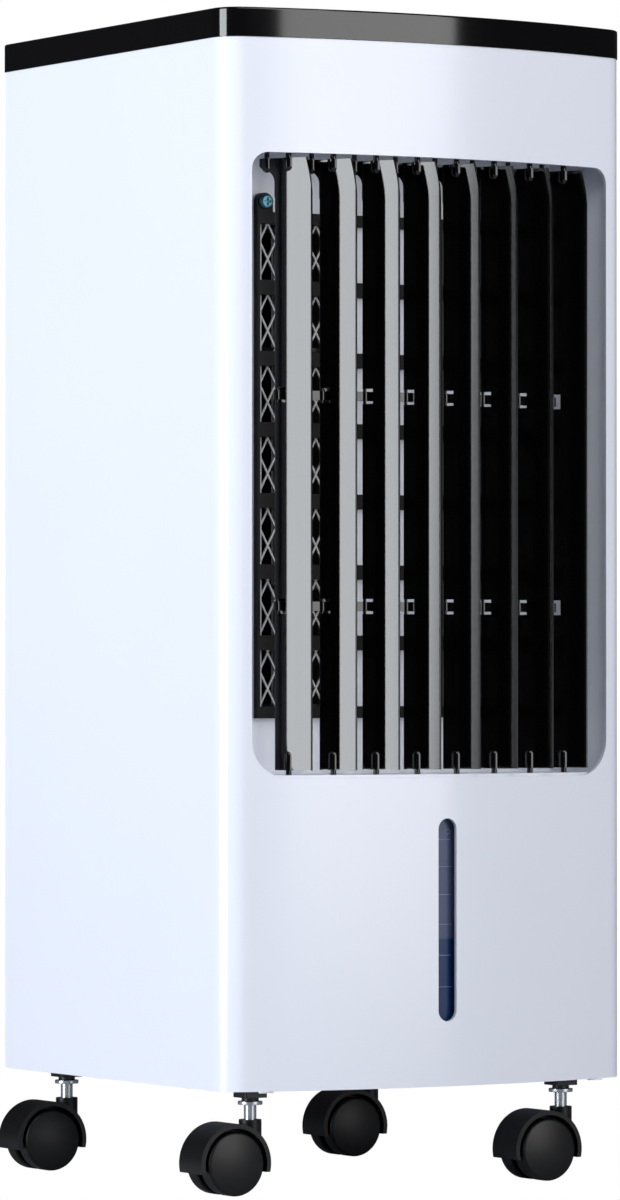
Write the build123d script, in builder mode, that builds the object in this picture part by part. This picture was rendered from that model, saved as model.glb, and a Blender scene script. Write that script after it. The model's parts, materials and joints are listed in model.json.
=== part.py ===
"""Portable evaporative air cooler: a slim tower on four twin-wheel casters.

Frame: millimetres, +Z up, X to the object's right as seen from the front, front face towards -Y.
The origin is on the floor under the middle of the body's footprint.
"""

from build123d import *
import math
import os

os.makedirs("parts", exist_ok=True)

# ---- driving dimensions -------------------------------------------------------------------------
TOTAL_HEIGHT = 600.0
BODY_WIDTH = 242.0
BODY_DEPTH = 250.0  # crown of the bowed front to the flat back
FRONT_BOW = 19.0  # how far the front's crown stands ahead of its corners
FRONT_CORNER_R = 15.0
REAR_CORNER_R = 12.0
WALL = 2.5
LID_HEIGHT = 15.0
BODY_BOTTOM = 53.4
FIT_GAP = 0.3  # between parts that drop into each other

OUTLET_WIDTH = 214.4
OUTLET_BOTTOM = 211.0
OUTLET_TOP = 527.0
OUTLET_TOP_CORNER_R = 8.5
OUTLET_LOW_CORNER_R = 19.0
GAUGE_WIDTH = 11.0
GAUGE_BOTTOM = 86.5
GAUGE_TOP = 190.0

VANE_COUNT = 8
VANE_PITCH = 23.8
VANE_SETBACK = 10.0  # pivots behind the front surface
VANE_REST_ANGLE = 34.0  # blades turned to the right at rest
VANE_BOTTOM = 215.0
VANE_TOP = 525.0
VANE_FRONT = 13.0  # pivot to front edge
VANE_REAR = 6.7  # pivot to rear edge
VANE_THICK = 3.2
CRANK_RADIUS = 12.2
TIE_RADIUS = 6.4
TIE_HEIGHTS = (298.0, 405.0)
DRIVEN_VANE = 5

STEM_X = 94.3
STEM_FRONT_INSET = 19.5  # behind the front corners
STEM_REAR_INSET = 19.5
CASTER_TRAIL = 14.7  # the axle trails the stem towards -X
WHEEL_R = 16.2
WHEEL_WIDTH = 9.6

# ---- worked-out sizes ---------------------------------------------------------------------------
HALF_WIDTH = BODY_WIDTH / 2
BACK_Y = BODY_DEPTH / 2
CROWN_Y = -BODY_DEPTH / 2
CORNER_Y = CROWN_Y + FRONT_BOW
FRONT_R = (HALF_WIDTH**2 + FRONT_BOW**2) / (2 * FRONT_BOW)
FRONT_CENTRE_Y = CROWN_Y + FRONT_R
BODY_TOP = TOTAL_HEIGHT - LID_HEIGHT
INNER_HALF = HALF_WIDTH - WALL


def front_y(x, inset=0.0):
    """The bowed front's Y at a given X, on a surface set back radially by inset."""
    return FRONT_CENTRE_Y - math.sqrt((FRONT_R - inset) ** 2 - x * x)


def footprint(inset, front_r=FRONT_CORNER_R, rear_r=REAR_CORNER_R):
    """The body's plan outline, set in by inset all round."""
    half = HALF_WIDTH - inset
    back = BACK_Y - inset
    with BuildSketch() as outline:
        with BuildLine():
            front = ThreePointArc(
                (-half, front_y(half, inset)), (0, CROWN_Y + inset), (half, front_y(half, inset))
            )
            right = Line(front @ 1, (half, back))
            rear = Line(right @ 1, (-half, back))
            Line(rear @ 1, front @ 0)
        make_face()
        corners = outline.vertices().sort_by(Axis.Y)
        fillet(corners[:2], front_r - inset)
        fillet(corners[2:], rear_r - inset)
    return outline.sketch


def finish(part, name):
    """Label a finished sub-part and write its STEP file."""
    part.label = name
    export_step(part, f"parts/{name}.step")


def box_between(low, high, mode=Mode.ADD):
    """An upright box between two corners, in the active part."""
    centre = [(a + b) / 2 for a, b in zip(low, high)]
    with Locations(tuple(centre)):
        Box(*[b - a for a, b in zip(low, high)], mode=mode)


# ---- main housing: front and both sides in one moulding, open at the back -----------------------
RETURN_WIDTH = 12.0  # lips that turn in at the rear corners
BACK_PANEL_HALF = HALF_WIDTH - RETURN_WIDTH - FIT_GAP
NUB_X = 99.5  # small moulded nubs under the front edge



def outlet_outline():
    """The outlet opening seen from the front, with larger corners at the bottom."""
    with BuildSketch() as outline:
        with Locations((0, (OUTLET_BOTTOM + OUTLET_TOP) / 2)):
            Rectangle(OUTLET_WIDTH, OUTLET_TOP - OUTLET_BOTTOM)
        fillet(outline.vertices().sort_by(Axis.Y)[:2], OUTLET_LOW_CORNER_R)
        fillet(outline.vertices().sort_by(Axis.Y)[-2:], OUTLET_TOP_CORNER_R)
    return outline.sketch


with BuildPart() as main_housing:
    with BuildSketch(Plane.XY.offset(BODY_BOTTOM)):
        add(footprint(0))
        add(footprint(WALL), mode=Mode.SUBTRACT)
    extrude(amount=BODY_TOP - BODY_BOTTOM)
    box_between(
        (-HALF_WIDTH + RETURN_WIDTH, BACK_Y - 2 * WALL, BODY_BOTTOM),
        (HALF_WIDTH - RETURN_WIDTH, BACK_Y + WALL, BODY_TOP),
        mode=Mode.SUBTRACT,
    )
    with BuildSketch(Plane.XZ.offset(-CORNER_Y - 20)):
        add(outlet_outline())
        with Locations((0, (GAUGE_BOTTOM + GAUGE_TOP) / 2)):
            SlotOverall(GAUGE_TOP - GAUGE_BOTTOM, GAUGE_WIDTH, rotation=90)
    extrude(amount=2 * FRONT_BOW + 20, mode=Mode.SUBTRACT)
    for side in (-1, 1):
        nub_y = front_y(NUB_X) + WALL / 2
        box_between(
            (side * NUB_X - 4, nub_y - 1, BODY_BOTTOM - 0.8), (side * NUB_X + 4, nub_y + 1, BODY_BOTTOM)
        )
finish(main_housing.part, "main_housing")

# ---- top panel: black control lid with wells for the keys and the display -----------------------
LID_OVERHANG = 0.5
LID_WALL = 4.4
LID_SKIN = 3.0
KEY_COUNT = 4
KEY_PITCH = 30.0
KEY_R = 6.5
KEY_Y = CROWN_Y + 36
KEY_GAP = 0.3
DISPLAY_SIZE = (62.0, 16.0)
DISPLAY_Y = CROWN_Y + 62
DISPLAY_RECESS = 1.4
LIP_DEPTH = 4.0  # the lid's lip inside the housing's rim
BOARD_TOP = BODY_TOP + 3.0
BOARD_HALF = 72.0

with BuildPart() as top_panel:
    with BuildSketch(Plane.XY.offset(BODY_TOP)):
        add(footprint(-LID_OVERHANG))
    extrude(amount=LID_HEIGHT)
    fillet(top_panel.faces().sort_by(Axis.Z)[-1].edges(), 1.2)
    with BuildSketch(Plane.XY.offset(BODY_TOP)):
        add(footprint(LID_WALL))
    extrude(amount=LID_HEIGHT - LID_SKIN, mode=Mode.SUBTRACT)
    with BuildSketch(Plane.XY.offset(TOTAL_HEIGHT)):
        with Locations((0, KEY_Y)):
            with GridLocations(KEY_PITCH, 0, KEY_COUNT, 1):
                Circle(KEY_R + KEY_GAP)
    extrude(amount=-LID_HEIGHT, mode=Mode.SUBTRACT)
    with BuildSketch(Plane.XY.offset(TOTAL_HEIGHT)):
        with Locations((0, DISPLAY_Y)):
            RectangleRounded(DISPLAY_SIZE[0] + KEY_GAP, DISPLAY_SIZE[1] + KEY_GAP, 3.15)
    extrude(amount=-DISPLAY_RECESS, mode=Mode.SUBTRACT)
    with BuildSketch(Plane.XY.offset(BODY_TOP - LIP_DEPTH)):
        add(footprint(WALL + FIT_GAP))
        add(footprint(WALL + FIT_GAP + 1.6), mode=Mode.SUBTRACT)
        with Locations((0, BACK_Y)):
            Rectangle(BODY_WIDTH, 30, mode=Mode.SUBTRACT)
    extrude(amount=LIP_DEPTH + 1)
    with BuildSketch(Plane.XY.offset(BOARD_TOP)):
        with Locations((0, KEY_Y + 17)):
            with GridLocations(2 * BOARD_HALF - 8, 46, 2, 2):
                Circle(2.5)
    extrude(amount=LID_HEIGHT - LID_SKIN - 3)
finish(top_panel.part, "top_panel")

with BuildPart() as display_window:
    with BuildSketch(Plane.XY.offset(TOTAL_HEIGHT - DISPLAY_RECESS)):
        with Locations((0, DISPLAY_Y)):
            RectangleRounded(*DISPLAY_SIZE, 3.0)
    extrude(amount=1.2)
finish(display_window.part, "display_window")

# ---- keys: round caps with a flange that stops them under the lid -------------------------------
KEY_NAMES = ("power_button", "speed_button", "swing_button", "timer_button")
KEY_TOP = TOTAL_HEIGHT - 0.2
LID_UNDERSIDE = TOTAL_HEIGHT - LID_SKIN


def make_key(x, name):
    """One push button at X, standing in its well in the lid."""
    with BuildPart() as key:
        with BuildSketch(Plane.XY.offset(LID_UNDERSIDE - 1.7)):
            with Locations((x, KEY_Y)):
                Circle(KEY_R + 1.2)
        extrude(amount=1.4)
        with BuildSketch(Plane.XY.offset(LID_UNDERSIDE - 1.7)):
            with Locations((x, KEY_Y)):
                Circle(KEY_R)
        extrude(amount=KEY_TOP - LID_UNDERSIDE + 1.7)
        fillet(key.faces().sort_by(Axis.Z)[-1].edges(), 0.6)
        with BuildSketch(Plane.XY.offset(LID_UNDERSIDE - 1.7)):
            with Locations((x, KEY_Y)):
                Circle(2.0)
        extrude(amount=-3.0)
    finish(key.part, name)


for index, key_name in enumerate(KEY_NAMES):
    make_key((index - (KEY_COUNT - 1) / 2) * KEY_PITCH, key_name)

with BuildPart() as control_board:
    box_between((-BOARD_HALF, KEY_Y - 10, BOARD_TOP - 1.6), (BOARD_HALF, KEY_Y + 44, BOARD_TOP))
    with Locations((0, KEY_Y, BOARD_TOP + 1.0)):
        with GridLocations(KEY_PITCH, 0, KEY_COUNT, 1):
            Box(6, 6, 2.0)
    box_between((-28, DISPLAY_Y - 7, BOARD_TOP), (28, DISPLAY_Y + 7, BOARD_TOP + 6))
    box_between((48, KEY_Y + 20, BOARD_TOP), (64, KEY_Y + 40, BOARD_TOP + 5))
finish(control_board.part, "control_board")

# ---- base plate, caster sockets and stems -------------------------------------------------------
STEM_R = 3.2
SOCKET_R = 5.0
BOSS_R = 8.0
BASE_THICK = 3.0
BOSS_TOP = 72.0
STEM_SPOTS = {
    "front_left": (-STEM_X, CORNER_Y + STEM_FRONT_INSET),
    "front_right": (STEM_X, CORNER_Y + STEM_FRONT_INSET),
    "rear_left": (-STEM_X, BACK_Y - STEM_REAR_INSET),
    "rear_right": (STEM_X, BACK_Y - STEM_REAR_INSET),
}
PLATE_BOTTOM = 48.9
NECK_BOTTOM = 47.2
FLANGE_BOTTOM = 45.3
TANK_BOTTOM = 74.0
RAIL_HALF = 70.0

with BuildPart() as base_plate:
    with BuildSketch(Plane.XY.offset(BODY_BOTTOM)):
        add(footprint(WALL + FIT_GAP))
    extrude(amount=BASE_THICK)
    with BuildSketch(Plane.XY.offset(BODY_BOTTOM + BASE_THICK)):
        with Locations(*STEM_SPOTS.values()):
            Circle(BOSS_R)
    extrude(amount=BOSS_TOP - BODY_BOTTOM - BASE_THICK)
    for side in (-1, 1):
        box_between(
            (side * RAIL_HALF - 2, CROWN_Y + 35, BODY_BOTTOM + BASE_THICK),
            (side * RAIL_HALF + 2, BACK_Y - 12, TANK_BOTTOM - FIT_GAP),
        )
    with BuildSketch(Plane.XY.offset(BODY_BOTTOM)):
        with Locations(*STEM_SPOTS.values()):
            Circle(SOCKET_R + 0.05)
    extrude(amount=BOSS_TOP - BODY_BOTTOM, mode=Mode.SUBTRACT)
finish(base_plate.part, "base_plate")

with BuildPart() as caster_sockets:
    for spot in STEM_SPOTS.values():
        with BuildSketch(Plane.XY.offset(PLATE_BOTTOM)):
            with Locations(spot):
                RectangleRounded(13, 13, 1)
        extrude(amount=BODY_BOTTOM - PLATE_BOTTOM)
        with BuildSketch(Plane.XY.offset(NECK_BOTTOM)):
            with Locations(spot):
                Circle(4.4)
        extrude(amount=PLATE_BOTTOM - NECK_BOTTOM)
        with BuildSketch(Plane.XY.offset(BODY_BOTTOM)):
            with Locations(spot):
                Circle(SOCKET_R)
        extrude(amount=BOSS_TOP - BODY_BOTTOM)
        with BuildSketch(Plane.XY.offset(NECK_BOTTOM)):
            with Locations(spot):
                Circle(STEM_R + 0.04)
        extrude(amount=BOSS_TOP - 2 - NECK_BOTTOM, mode=Mode.SUBTRACT)
finish(caster_sockets.part, "caster_sockets")

STEM_BOTTOM = 25.0
with BuildPart() as caster_stems:
    with BuildSketch(Plane.XY.offset(STEM_BOTTOM)):
        with Locations(*STEM_SPOTS.values()):
            Circle(STEM_R)
    extrude(amount=BOSS_TOP - 3 - STEM_BOTTOM)
    with BuildSketch(Plane.XY.offset(FLANGE_BOTTOM)):
        with Locations(*STEM_SPOTS.values()):
            Circle(6.3)
    extrude(amount=NECK_BOTTOM - 0.1 - FLANGE_BOTTOM)
finish(caster_stems.part, "caster_stems")

# ---- twin-wheel casters -------------------------------------------------------------------------
HOOD_R = 20.4
HOOD_INNER_R = 18.0
HOOD_WIDTH = 22.8
WEB_HALF = 1.9
COLLAR_R = 5.8
COLLAR_TOP = 37.8
SKIRT_DROP = 4.5  # skirts end this far below the axle
AXLE_R = 1.5
WHEEL_GAP = 0.5  # between the web and a wheel
HUBCAP_RISE = 1.6  # the domed face beyond the tread
WHEEL_INNER = WEB_HALF + WHEEL_GAP


def make_caster(spot, name):
    """One caster: hood, axle and two wheels, trailing towards -X from its stem."""
    stem_x, stem_y = spot
    axle_x = stem_x - CASTER_TRAIL
    side = Plane(origin=(axle_x, stem_y, WHEEL_R), x_dir=(1, 0, 0), z_dir=(0, -1, 0))
    with BuildPart() as hood:
        with BuildSketch(side):
            Circle(HOOD_R)
        extrude(amount=HOOD_WIDTH / 2, both=True)
        with BuildSketch(Plane.XY.offset(WHEEL_R + 4)):
            with Locations(spot):
                Circle(COLLAR_R)
        extrude(amount=COLLAR_TOP - WHEEL_R - 4)
        for sense in (-1, 1):
            with BuildSketch(side.offset(sense * WEB_HALF)):
                Circle(HOOD_INNER_R)
            extrude(amount=sense * HOOD_WIDTH, mode=Mode.SUBTRACT)
        box_between(
            (axle_x - 2 * HOOD_R, stem_y - HOOD_WIDTH, -HOOD_R),
            (axle_x + 2 * HOOD_R, stem_y + HOOD_WIDTH, WHEEL_R - SKIRT_DROP),
            mode=Mode.SUBTRACT,
        )
        with BuildSketch(side):
            Circle(AXLE_R + 0.02)
        extrude(amount=HOOD_WIDTH, both=True, mode=Mode.SUBTRACT)
        with BuildSketch(Plane.XY.offset(STEM_BOTTOM - 0.5)):
            with Locations(spot):
                Circle(STEM_R + 0.06)
        extrude(amount=COLLAR_TOP, mode=Mode.SUBTRACT)
    finish(hood.part, f"{name}_caster_hood")

    with BuildPart() as axle:
        with BuildSketch(side):
            Circle(AXLE_R)
        extrude(amount=WHEEL_INNER + WHEEL_WIDTH - 2, both=True)
    finish(axle.part, f"{name}_caster_axle")

    for sense, end in ((1, "front"), (-1, "rear")):
        outer = WHEEL_INNER + WHEEL_WIDTH
        cap_r = WHEEL_R - 1.7
        dome_r = (cap_r**2 + HUBCAP_RISE**2) / (2 * HUBCAP_RISE)
        dome_half = math.sqrt(dome_r**2 - (cap_r / 2) ** 2) - dome_r + HUBCAP_RISE
        section = Plane(origin=(axle_x, stem_y, WHEEL_R), x_dir=(1, 0, 0), z_dir=(0, 0, 1))
        with BuildPart() as wheel:
            with BuildSketch(section):
                with BuildLine():
                    bore_line = Line((0, -sense * WHEEL_INNER), (WHEEL_R - 1, -sense * WHEEL_INNER))
                    tread_in = Line(bore_line @ 1, (WHEEL_R, -sense * (WHEEL_INNER + 1)))
                    tread = Line(tread_in @ 1, (WHEEL_R, -sense * (outer - 1.8)))
                    shoulder = ThreePointArc(
                        tread @ 1, (WHEEL_R - 0.5, -sense * (outer - 0.55)), (cap_r, -sense * outer)
                    )
                    dome = ThreePointArc(
                        shoulder @ 1,
                        (cap_r / 2, -sense * (outer + dome_half)),
                        (0, -sense * (outer + HUBCAP_RISE)),
                    )
                    Line(dome @ 1, bore_line @ 0)
                make_face()
            revolve(axis=Axis((axle_x, stem_y, WHEEL_R), (0, 1, 0)))
            with BuildSketch(side.offset(sense * WHEEL_INNER)):
                Circle(WHEEL_R - 3)
                Circle(4.2, mode=Mode.SUBTRACT)
            extrude(amount=sense * (WHEEL_WIDTH - 2.5), mode=Mode.SUBTRACT)
            with BuildSketch(side.offset(sense * WHEEL_INNER)):
                Circle(AXLE_R + 0.08)
            extrude(amount=sense * (WHEEL_WIDTH - 1.5), mode=Mode.SUBTRACT)
        finish(wheel.part, f"{name}_caster_wheel_{end}")


for spot_name, spot in STEM_SPOTS.items():
    make_caster(spot, spot_name)

# ---- outlet frame: mouth behind the opening, pivot ledges, and the panel that carries the guard --
PANEL_Y = CORNER_Y + 32.0  # front face of the panel behind the vanes
PANEL_THICK = 2.5
FRAME_BOTTOM = 210.0
LEDGE_TOP_Z = 528.0
LEDGE_THICK = 3.0
CEILING_Z = 541.0
MOUTH_HALF = 108.5
THROAT_HALF = 96.0
GUARD_HALF = 85.0
GUARD_BOTTOM = 241.0
GUARD_TOP = 499.6
LUG_X = GUARD_HALF - 4.6
VENT_LEFT = -81.0  # the panel is open in front of the drum, and blank to the right of it
VENT_RIGHT = -30.6
LUG_SPOTS = [(-LUG_X, GUARD_TOP + 5.1), (LUG_X, GUARD_TOP + 5.1)]
SCREW_R = 1.6
PIN_R = 1.5
PIVOT_X = [(k - (VANE_COUNT - 1) / 2) * VANE_PITCH for k in range(VANE_COUNT)]
PIVOTS = [(x, front_y(x) + VANE_SETBACK) for x in PIVOT_X]


def mouth_plan(rear_y, half):
    """Plan of the mouth's floor or ledge: bowed front edge, straight back edge at rear_y."""
    with BuildSketch() as plan:
        with BuildLine():
            front = ThreePointArc(
                (-MOUTH_HALF, front_y(MOUTH_HALF, WALL + FIT_GAP)),
                (0, CROWN_Y + WALL + FIT_GAP),
                (MOUTH_HALF, front_y(MOUTH_HALF, WALL + FIT_GAP)),
            )
            Polyline(front @ 1, (half, rear_y), (-half, rear_y), front @ 0)
        make_face()
    return plan.sketch


def ledge_plan():
    """Plan of the top ledge: a bowed strip just wide enough for the pivot holes, clear of the walls."""
    back = VANE_SETBACK + 5.0
    half_front = MOUTH_HALF - 2.0
    half_rear = MOUTH_HALF - 7.6
    with BuildSketch() as plan:
        with BuildLine():
            front = ThreePointArc(
                (-half_front, front_y(half_front, WALL + FIT_GAP)),
                (0, CROWN_Y + WALL + FIT_GAP),
                (half_front, front_y(half_front, WALL + FIT_GAP)),
            )
            rear = ThreePointArc(
                (half_rear, front_y(half_rear) + back),
                (0, CROWN_Y + back),
                (-half_rear, front_y(half_rear) + back),
            )
            Line(front @ 1, rear @ 0)
            Line(rear @ 1, front @ 0)
        make_face()
    return plan.sketch


with BuildPart() as outlet_frame:
    with BuildSketch(Plane.XY.offset(FRAME_BOTTOM)):
        add(mouth_plan(PANEL_Y, THROAT_HALF))
    extrude(amount=OUTLET_BOTTOM + 1.5 - FRAME_BOTTOM)
    with BuildSketch(Plane.XY.offset(CEILING_Z)):
        add(mouth_plan(PANEL_Y, THROAT_HALF))
    extrude(amount=LEDGE_THICK)
    with BuildSketch(Plane.XY.offset(FRAME_BOTTOM)):
        for side in (-1, 1):
            with BuildLine():
                corner_y = front_y(MOUTH_HALF, WALL + FIT_GAP)
                Polyline(
                    (side * MOUTH_HALF, corner_y),
                    (side * THROAT_HALF, PANEL_Y),
                    (side * (THROAT_HALF + 3), PANEL_Y),
                    (side * (MOUTH_HALF + 2.5), corner_y + 1.5),
                    close=True,
                )
            make_face()
    extrude(amount=CEILING_Z + LEDGE_THICK - FRAME_BOTTOM)
    box_between(
        (-THROAT_HALF - 3, PANEL_Y, FRAME_BOTTOM),
        (THROAT_HALF + 3, PANEL_Y + PANEL_THICK, CEILING_Z + LEDGE_THICK),
    )
    box_between(
        (VENT_LEFT, PANEL_Y - 1, GUARD_BOTTOM + 4),
        (VENT_RIGHT, PANEL_Y + PANEL_THICK + 1, GUARD_TOP - 4),
        mode=Mode.SUBTRACT,
    )
    with BuildSketch(Plane.XY.offset(LEDGE_TOP_Z)):
        add(ledge_plan())
    extrude(amount=LEDGE_THICK)
    with BuildSketch(Plane.XY.offset(FRAME_BOTTOM)):
        with Locations(*PIVOTS):
            Circle(PIN_R + 0.08)
    extrude(amount=LEDGE_TOP_Z + LEDGE_THICK - FRAME_BOTTOM, mode=Mode.SUBTRACT)
    with BuildSketch(Plane.XZ.offset(-PANEL_Y)):
        with Locations(*LUG_SPOTS):
            Circle(SCREW_R + 0.05)
    extrude(amount=-PANEL_THICK, mode=Mode.SUBTRACT)
finish(outlet_frame.part, "outlet_frame")

# ---- vanes: upright blades with a crank lobe at the top -----------------------------------------
EDGE_THICK = 1.5
FLAT_SIDE = 1.4  # the left face is flat, this far from the pivot line; the right face bulges
EDGE_ROUND = 0.6
REACH_FRONT = VANE_FRONT + EDGE_ROUND + 0.1
REACH_REAR = VANE_REAR + EDGE_ROUND + 0.1
DRIVE_PIN_BOTTOM = 204.0
LOBE_REACH = CRANK_RADIUS + 3.6
LOBE_THICK = 2.4
LOBE_BOTTOM = VANE_TOP - 6.0
BOSS_BOTTOM = VANE_TOP - 7.2  # the bosses round the pins end in domes
PIVOT_BOSS_R = 3.0
FOOT_BOSS_R = 2.7
FOOT_BOSS_TALL = 7.2
CRANK_BOSS_R = 2.6
CRANK_PIN_R = 1.3
CRANK_PIN_TOP = 536.0
PIVOT_PIN_TOP = LEDGE_TOP_Z + LEDGE_THICK
NOTCH_HALF = 3.8
NOTCH_DEPTH = 6.2
TIE_PIN_R = 0.9


def make_vane(number):
    """One vane in its rest position; local -Y runs to the blade's front edge."""
    x, y = PIVOTS[number - 1]
    lean = VANE_REST_ANGLE
    edge_middle = EDGE_THICK / 2 - FLAT_SIDE
    plan = Plane(origin=(x, y, 0), x_dir=Vector(1, 0, 0).rotate(Axis.Z, lean), z_dir=(0, 0, 1))
    face = Plane(origin=(x, y, 0), x_dir=plan.y_dir, z_dir=plan.x_dir)
    pin_bottom = DRIVE_PIN_BOTTOM if number == DRIVEN_VANE else FRAME_BOTTOM - 1.5
    with BuildPart() as vane:
        with BuildSketch(plan.offset(VANE_BOTTOM)):
            with BuildLine():
                left = Line((-FLAT_SIDE, -VANE_FRONT), (-FLAT_SIDE, VANE_REAR))
                back = ThreePointArc(
                    left @ 1, (edge_middle, VANE_REAR + EDGE_ROUND), (EDGE_THICK - FLAT_SIDE, VANE_REAR)
                )
                right = ThreePointArc(
                    back @ 1, (VANE_THICK - FLAT_SIDE, 0), (EDGE_THICK - FLAT_SIDE, -VANE_FRONT)
                )
                ThreePointArc(right @ 1, (edge_middle, -VANE_FRONT - EDGE_ROUND), left @ 0)
            make_face()
        extrude(amount=VANE_TOP - VANE_BOTTOM)
        with BuildSketch(plan.offset(VANE_TOP - 20)):
            with Locations((0, LOBE_REACH / 2)):
                Rectangle(LOBE_THICK, LOBE_REACH)
        extrude(amount=20)
        with BuildSketch(face):
            with BuildLine():
                front_edge = Line((-REACH_FRONT, VANE_BOTTOM), (-REACH_FRONT, VANE_TOP - 24))
                taper = Spline(
                    front_edge @ 1, (-VANE_FRONT + 2.8, VANE_TOP), tangents=((0, 1), (0.25, 1))
                )
                top = Line(taper @ 1, (LOBE_REACH, VANE_TOP))
                tip = Line(top @ 1, (LOBE_REACH, LOBE_BOTTOM + 2))
                heel = Line(tip @ 1, (LOBE_REACH - 2, LOBE_BOTTOM))
                shelf = Line(heel @ 1, (REACH_REAR + 5.2, LOBE_BOTTOM))
                cove = RadiusArc(shelf @ 1, (REACH_REAR, LOBE_BOTTOM - 7), -6.6)
                rear_edge = Line(cove @ 1, (REACH_REAR, VANE_BOTTOM))
                Line(rear_edge @ 1, front_edge @ 0)
            make_face()
        extrude(amount=VANE_THICK * 2, both=True, mode=Mode.INTERSECT)
        for height in TIE_HEIGHTS:
            with BuildSketch(face):
                with Locations((REACH_REAR - NOTCH_DEPTH / 2, height)):
                    Rectangle(NOTCH_DEPTH, 2 * NOTCH_HALF)
            extrude(amount=VANE_THICK, both=True, mode=Mode.SUBTRACT)
            with BuildSketch(plan.offset(height - NOTCH_HALF - 1.5)):
                with Locations((0, TIE_RADIUS)):
                    Circle(TIE_PIN_R)
            extrude(amount=2 * NOTCH_HALF + 3)
        for reach, boss_r in ((0, PIVOT_BOSS_R), (CRANK_RADIUS, CRANK_BOSS_R)):
            with BuildSketch(plan.offset(BOSS_BOTTOM + boss_r)):
                with Locations((0, reach)):
                    Circle(boss_r)
            extrude(amount=VANE_TOP - BOSS_BOTTOM - boss_r)
            with Locations(plan.offset(BOSS_BOTTOM + boss_r) * Pos(0, reach, 0)):
                Sphere(boss_r)
        with BuildSketch(plan.offset(VANE_BOTTOM)):
            Circle(FOOT_BOSS_R)
        extrude(amount=FOOT_BOSS_TALL)
        with Locations(plan.offset(VANE_BOTTOM + FOOT_BOSS_TALL)):
            Sphere(FOOT_BOSS_R)
        with BuildSketch(plan.offset(pin_bottom)):
            Circle(PIN_R)
        extrude(amount=VANE_BOTTOM + 2 - pin_bottom)
        with BuildSketch(plan.offset(VANE_TOP - 2)):
            Circle(PIN_R)
        extrude(amount=PIVOT_PIN_TOP - VANE_TOP + 2)
        with BuildSketch(plan.offset(VANE_TOP - 2)):
            with Locations((0, CRANK_RADIUS)):
                Circle(CRANK_PIN_R)
        extrude(amount=CRANK_PIN_TOP - VANE_TOP + 2)
    finish(vane.part, f"vane_{number}")


for vane_number in range(1, VANE_COUNT + 1):
    make_vane(vane_number)


# ---- link bars: they join the vanes' crank pins and tie pins ------------------------------------
def crank_offset(radius):
    """Where a vane's pin at this radius sits from its pivot at rest."""
    lean = math.radians(VANE_REST_ANGLE)
    return -radius * math.sin(lean), radius * math.cos(lean)


def link_plan(radius, half_width, eye_r, hole_r):
    """Plan of a bar that follows the row of pins, with an eye at each pin."""
    dx, dy = crank_offset(radius)
    spots = [(x + dx, y + dy) for x, y in PIVOTS]
    middle_y = front_y(0) + VANE_SETBACK + dy
    with BuildSketch() as plan:
        with BuildLine():
            ends = (spots[0], spots[-1])
            ThreePointArc(ends[0], (dx, middle_y), ends[1])
        trace(line_width=2 * half_width)
        with Locations(*spots):
            Circle(eye_r)
            Circle(hole_r, mode=Mode.SUBTRACT)
    return plan.sketch


LINK_BOTTOM = 532.0
with BuildPart() as crank_link_bar:
    with BuildSketch(Plane.XY.offset(LINK_BOTTOM)):
        add(link_plan(CRANK_RADIUS, 2.2, 3.0, CRANK_PIN_R + 0.09))
    extrude(amount=2.6)
finish(crank_link_bar.part, "crank_link_bar")

with BuildPart() as tie_bars:
    for height in TIE_HEIGHTS:
        with BuildSketch(Plane.XY.offset(height - 2.4)):
            add(link_plan(TIE_RADIUS, 1.2, 2.0, TIE_PIN_R + 0.09))
        extrude(amount=4.8)
finish(tie_bars.part, "tie_bars")

# ---- swing motor: a small geared motor under the floor, its hub on the driven vane's pin --------
MOTOR_X, HUB_Y = PIVOTS[DRIVEN_VANE - 1]
MOTOR_OFFSET = 5.0  # the gearbox puts the hub ahead of the motor's middle
SWING_MOTOR_BOTTOM = 197.0
with BuildPart() as swing_motor:
    with BuildSketch(Plane.XY.offset(SWING_MOTOR_BOTTOM)):
        with Locations((MOTOR_X, HUB_Y + MOTOR_OFFSET)):
            Circle(10)
    extrude(amount=FRAME_BOTTOM - 0.2 - SWING_MOTOR_BOTTOM)
    with BuildSketch(Plane.XY.offset(FRAME_BOTTOM - 1.4)):
        with Locations((MOTOR_X, HUB_Y + MOTOR_OFFSET)):
            SlotOverall(36, 7)
    extrude(amount=1.2)
    with BuildSketch(Plane.XY.offset(FRAME_BOTTOM)):
        with Locations((MOTOR_X, HUB_Y)):
            Circle(PIN_R + 0.06)
    extrude(amount=DRIVE_PIN_BOTTOM - FRAME_BOTTOM - 0.5, mode=Mode.SUBTRACT)
finish(swing_motor.part, "swing_motor")

# ---- fan guard, its lattice in front of the drum, and its screws --------------------------------
GUARD_ROWS = 7
GUARD_THICK = 4.0
GUARD_BACK_Y = PANEL_Y - FIT_GAP
ROW_PITCH = 36.3
ROW_WINDOW = 28.7
BORDER = 1.6
BAR = 3.6
UPRIGHTS = (-31.0, 26.0)  # bars between the guard's columns of windows
LUG_R = 4.6
SCREW_HEAD_R = 3.9
GUARD_MIDDLE_Z = (GUARD_BOTTOM + GUARD_TOP) / 2
guard_plane = Plane(origin=(0, GUARD_BACK_Y, 0), x_dir=(1, 0, 0), z_dir=(0, -1, 0))
edges_x = [-GUARD_HALF + BORDER - BAR / 2, *UPRIGHTS, GUARD_HALF - BORDER + BAR / 2]

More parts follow.
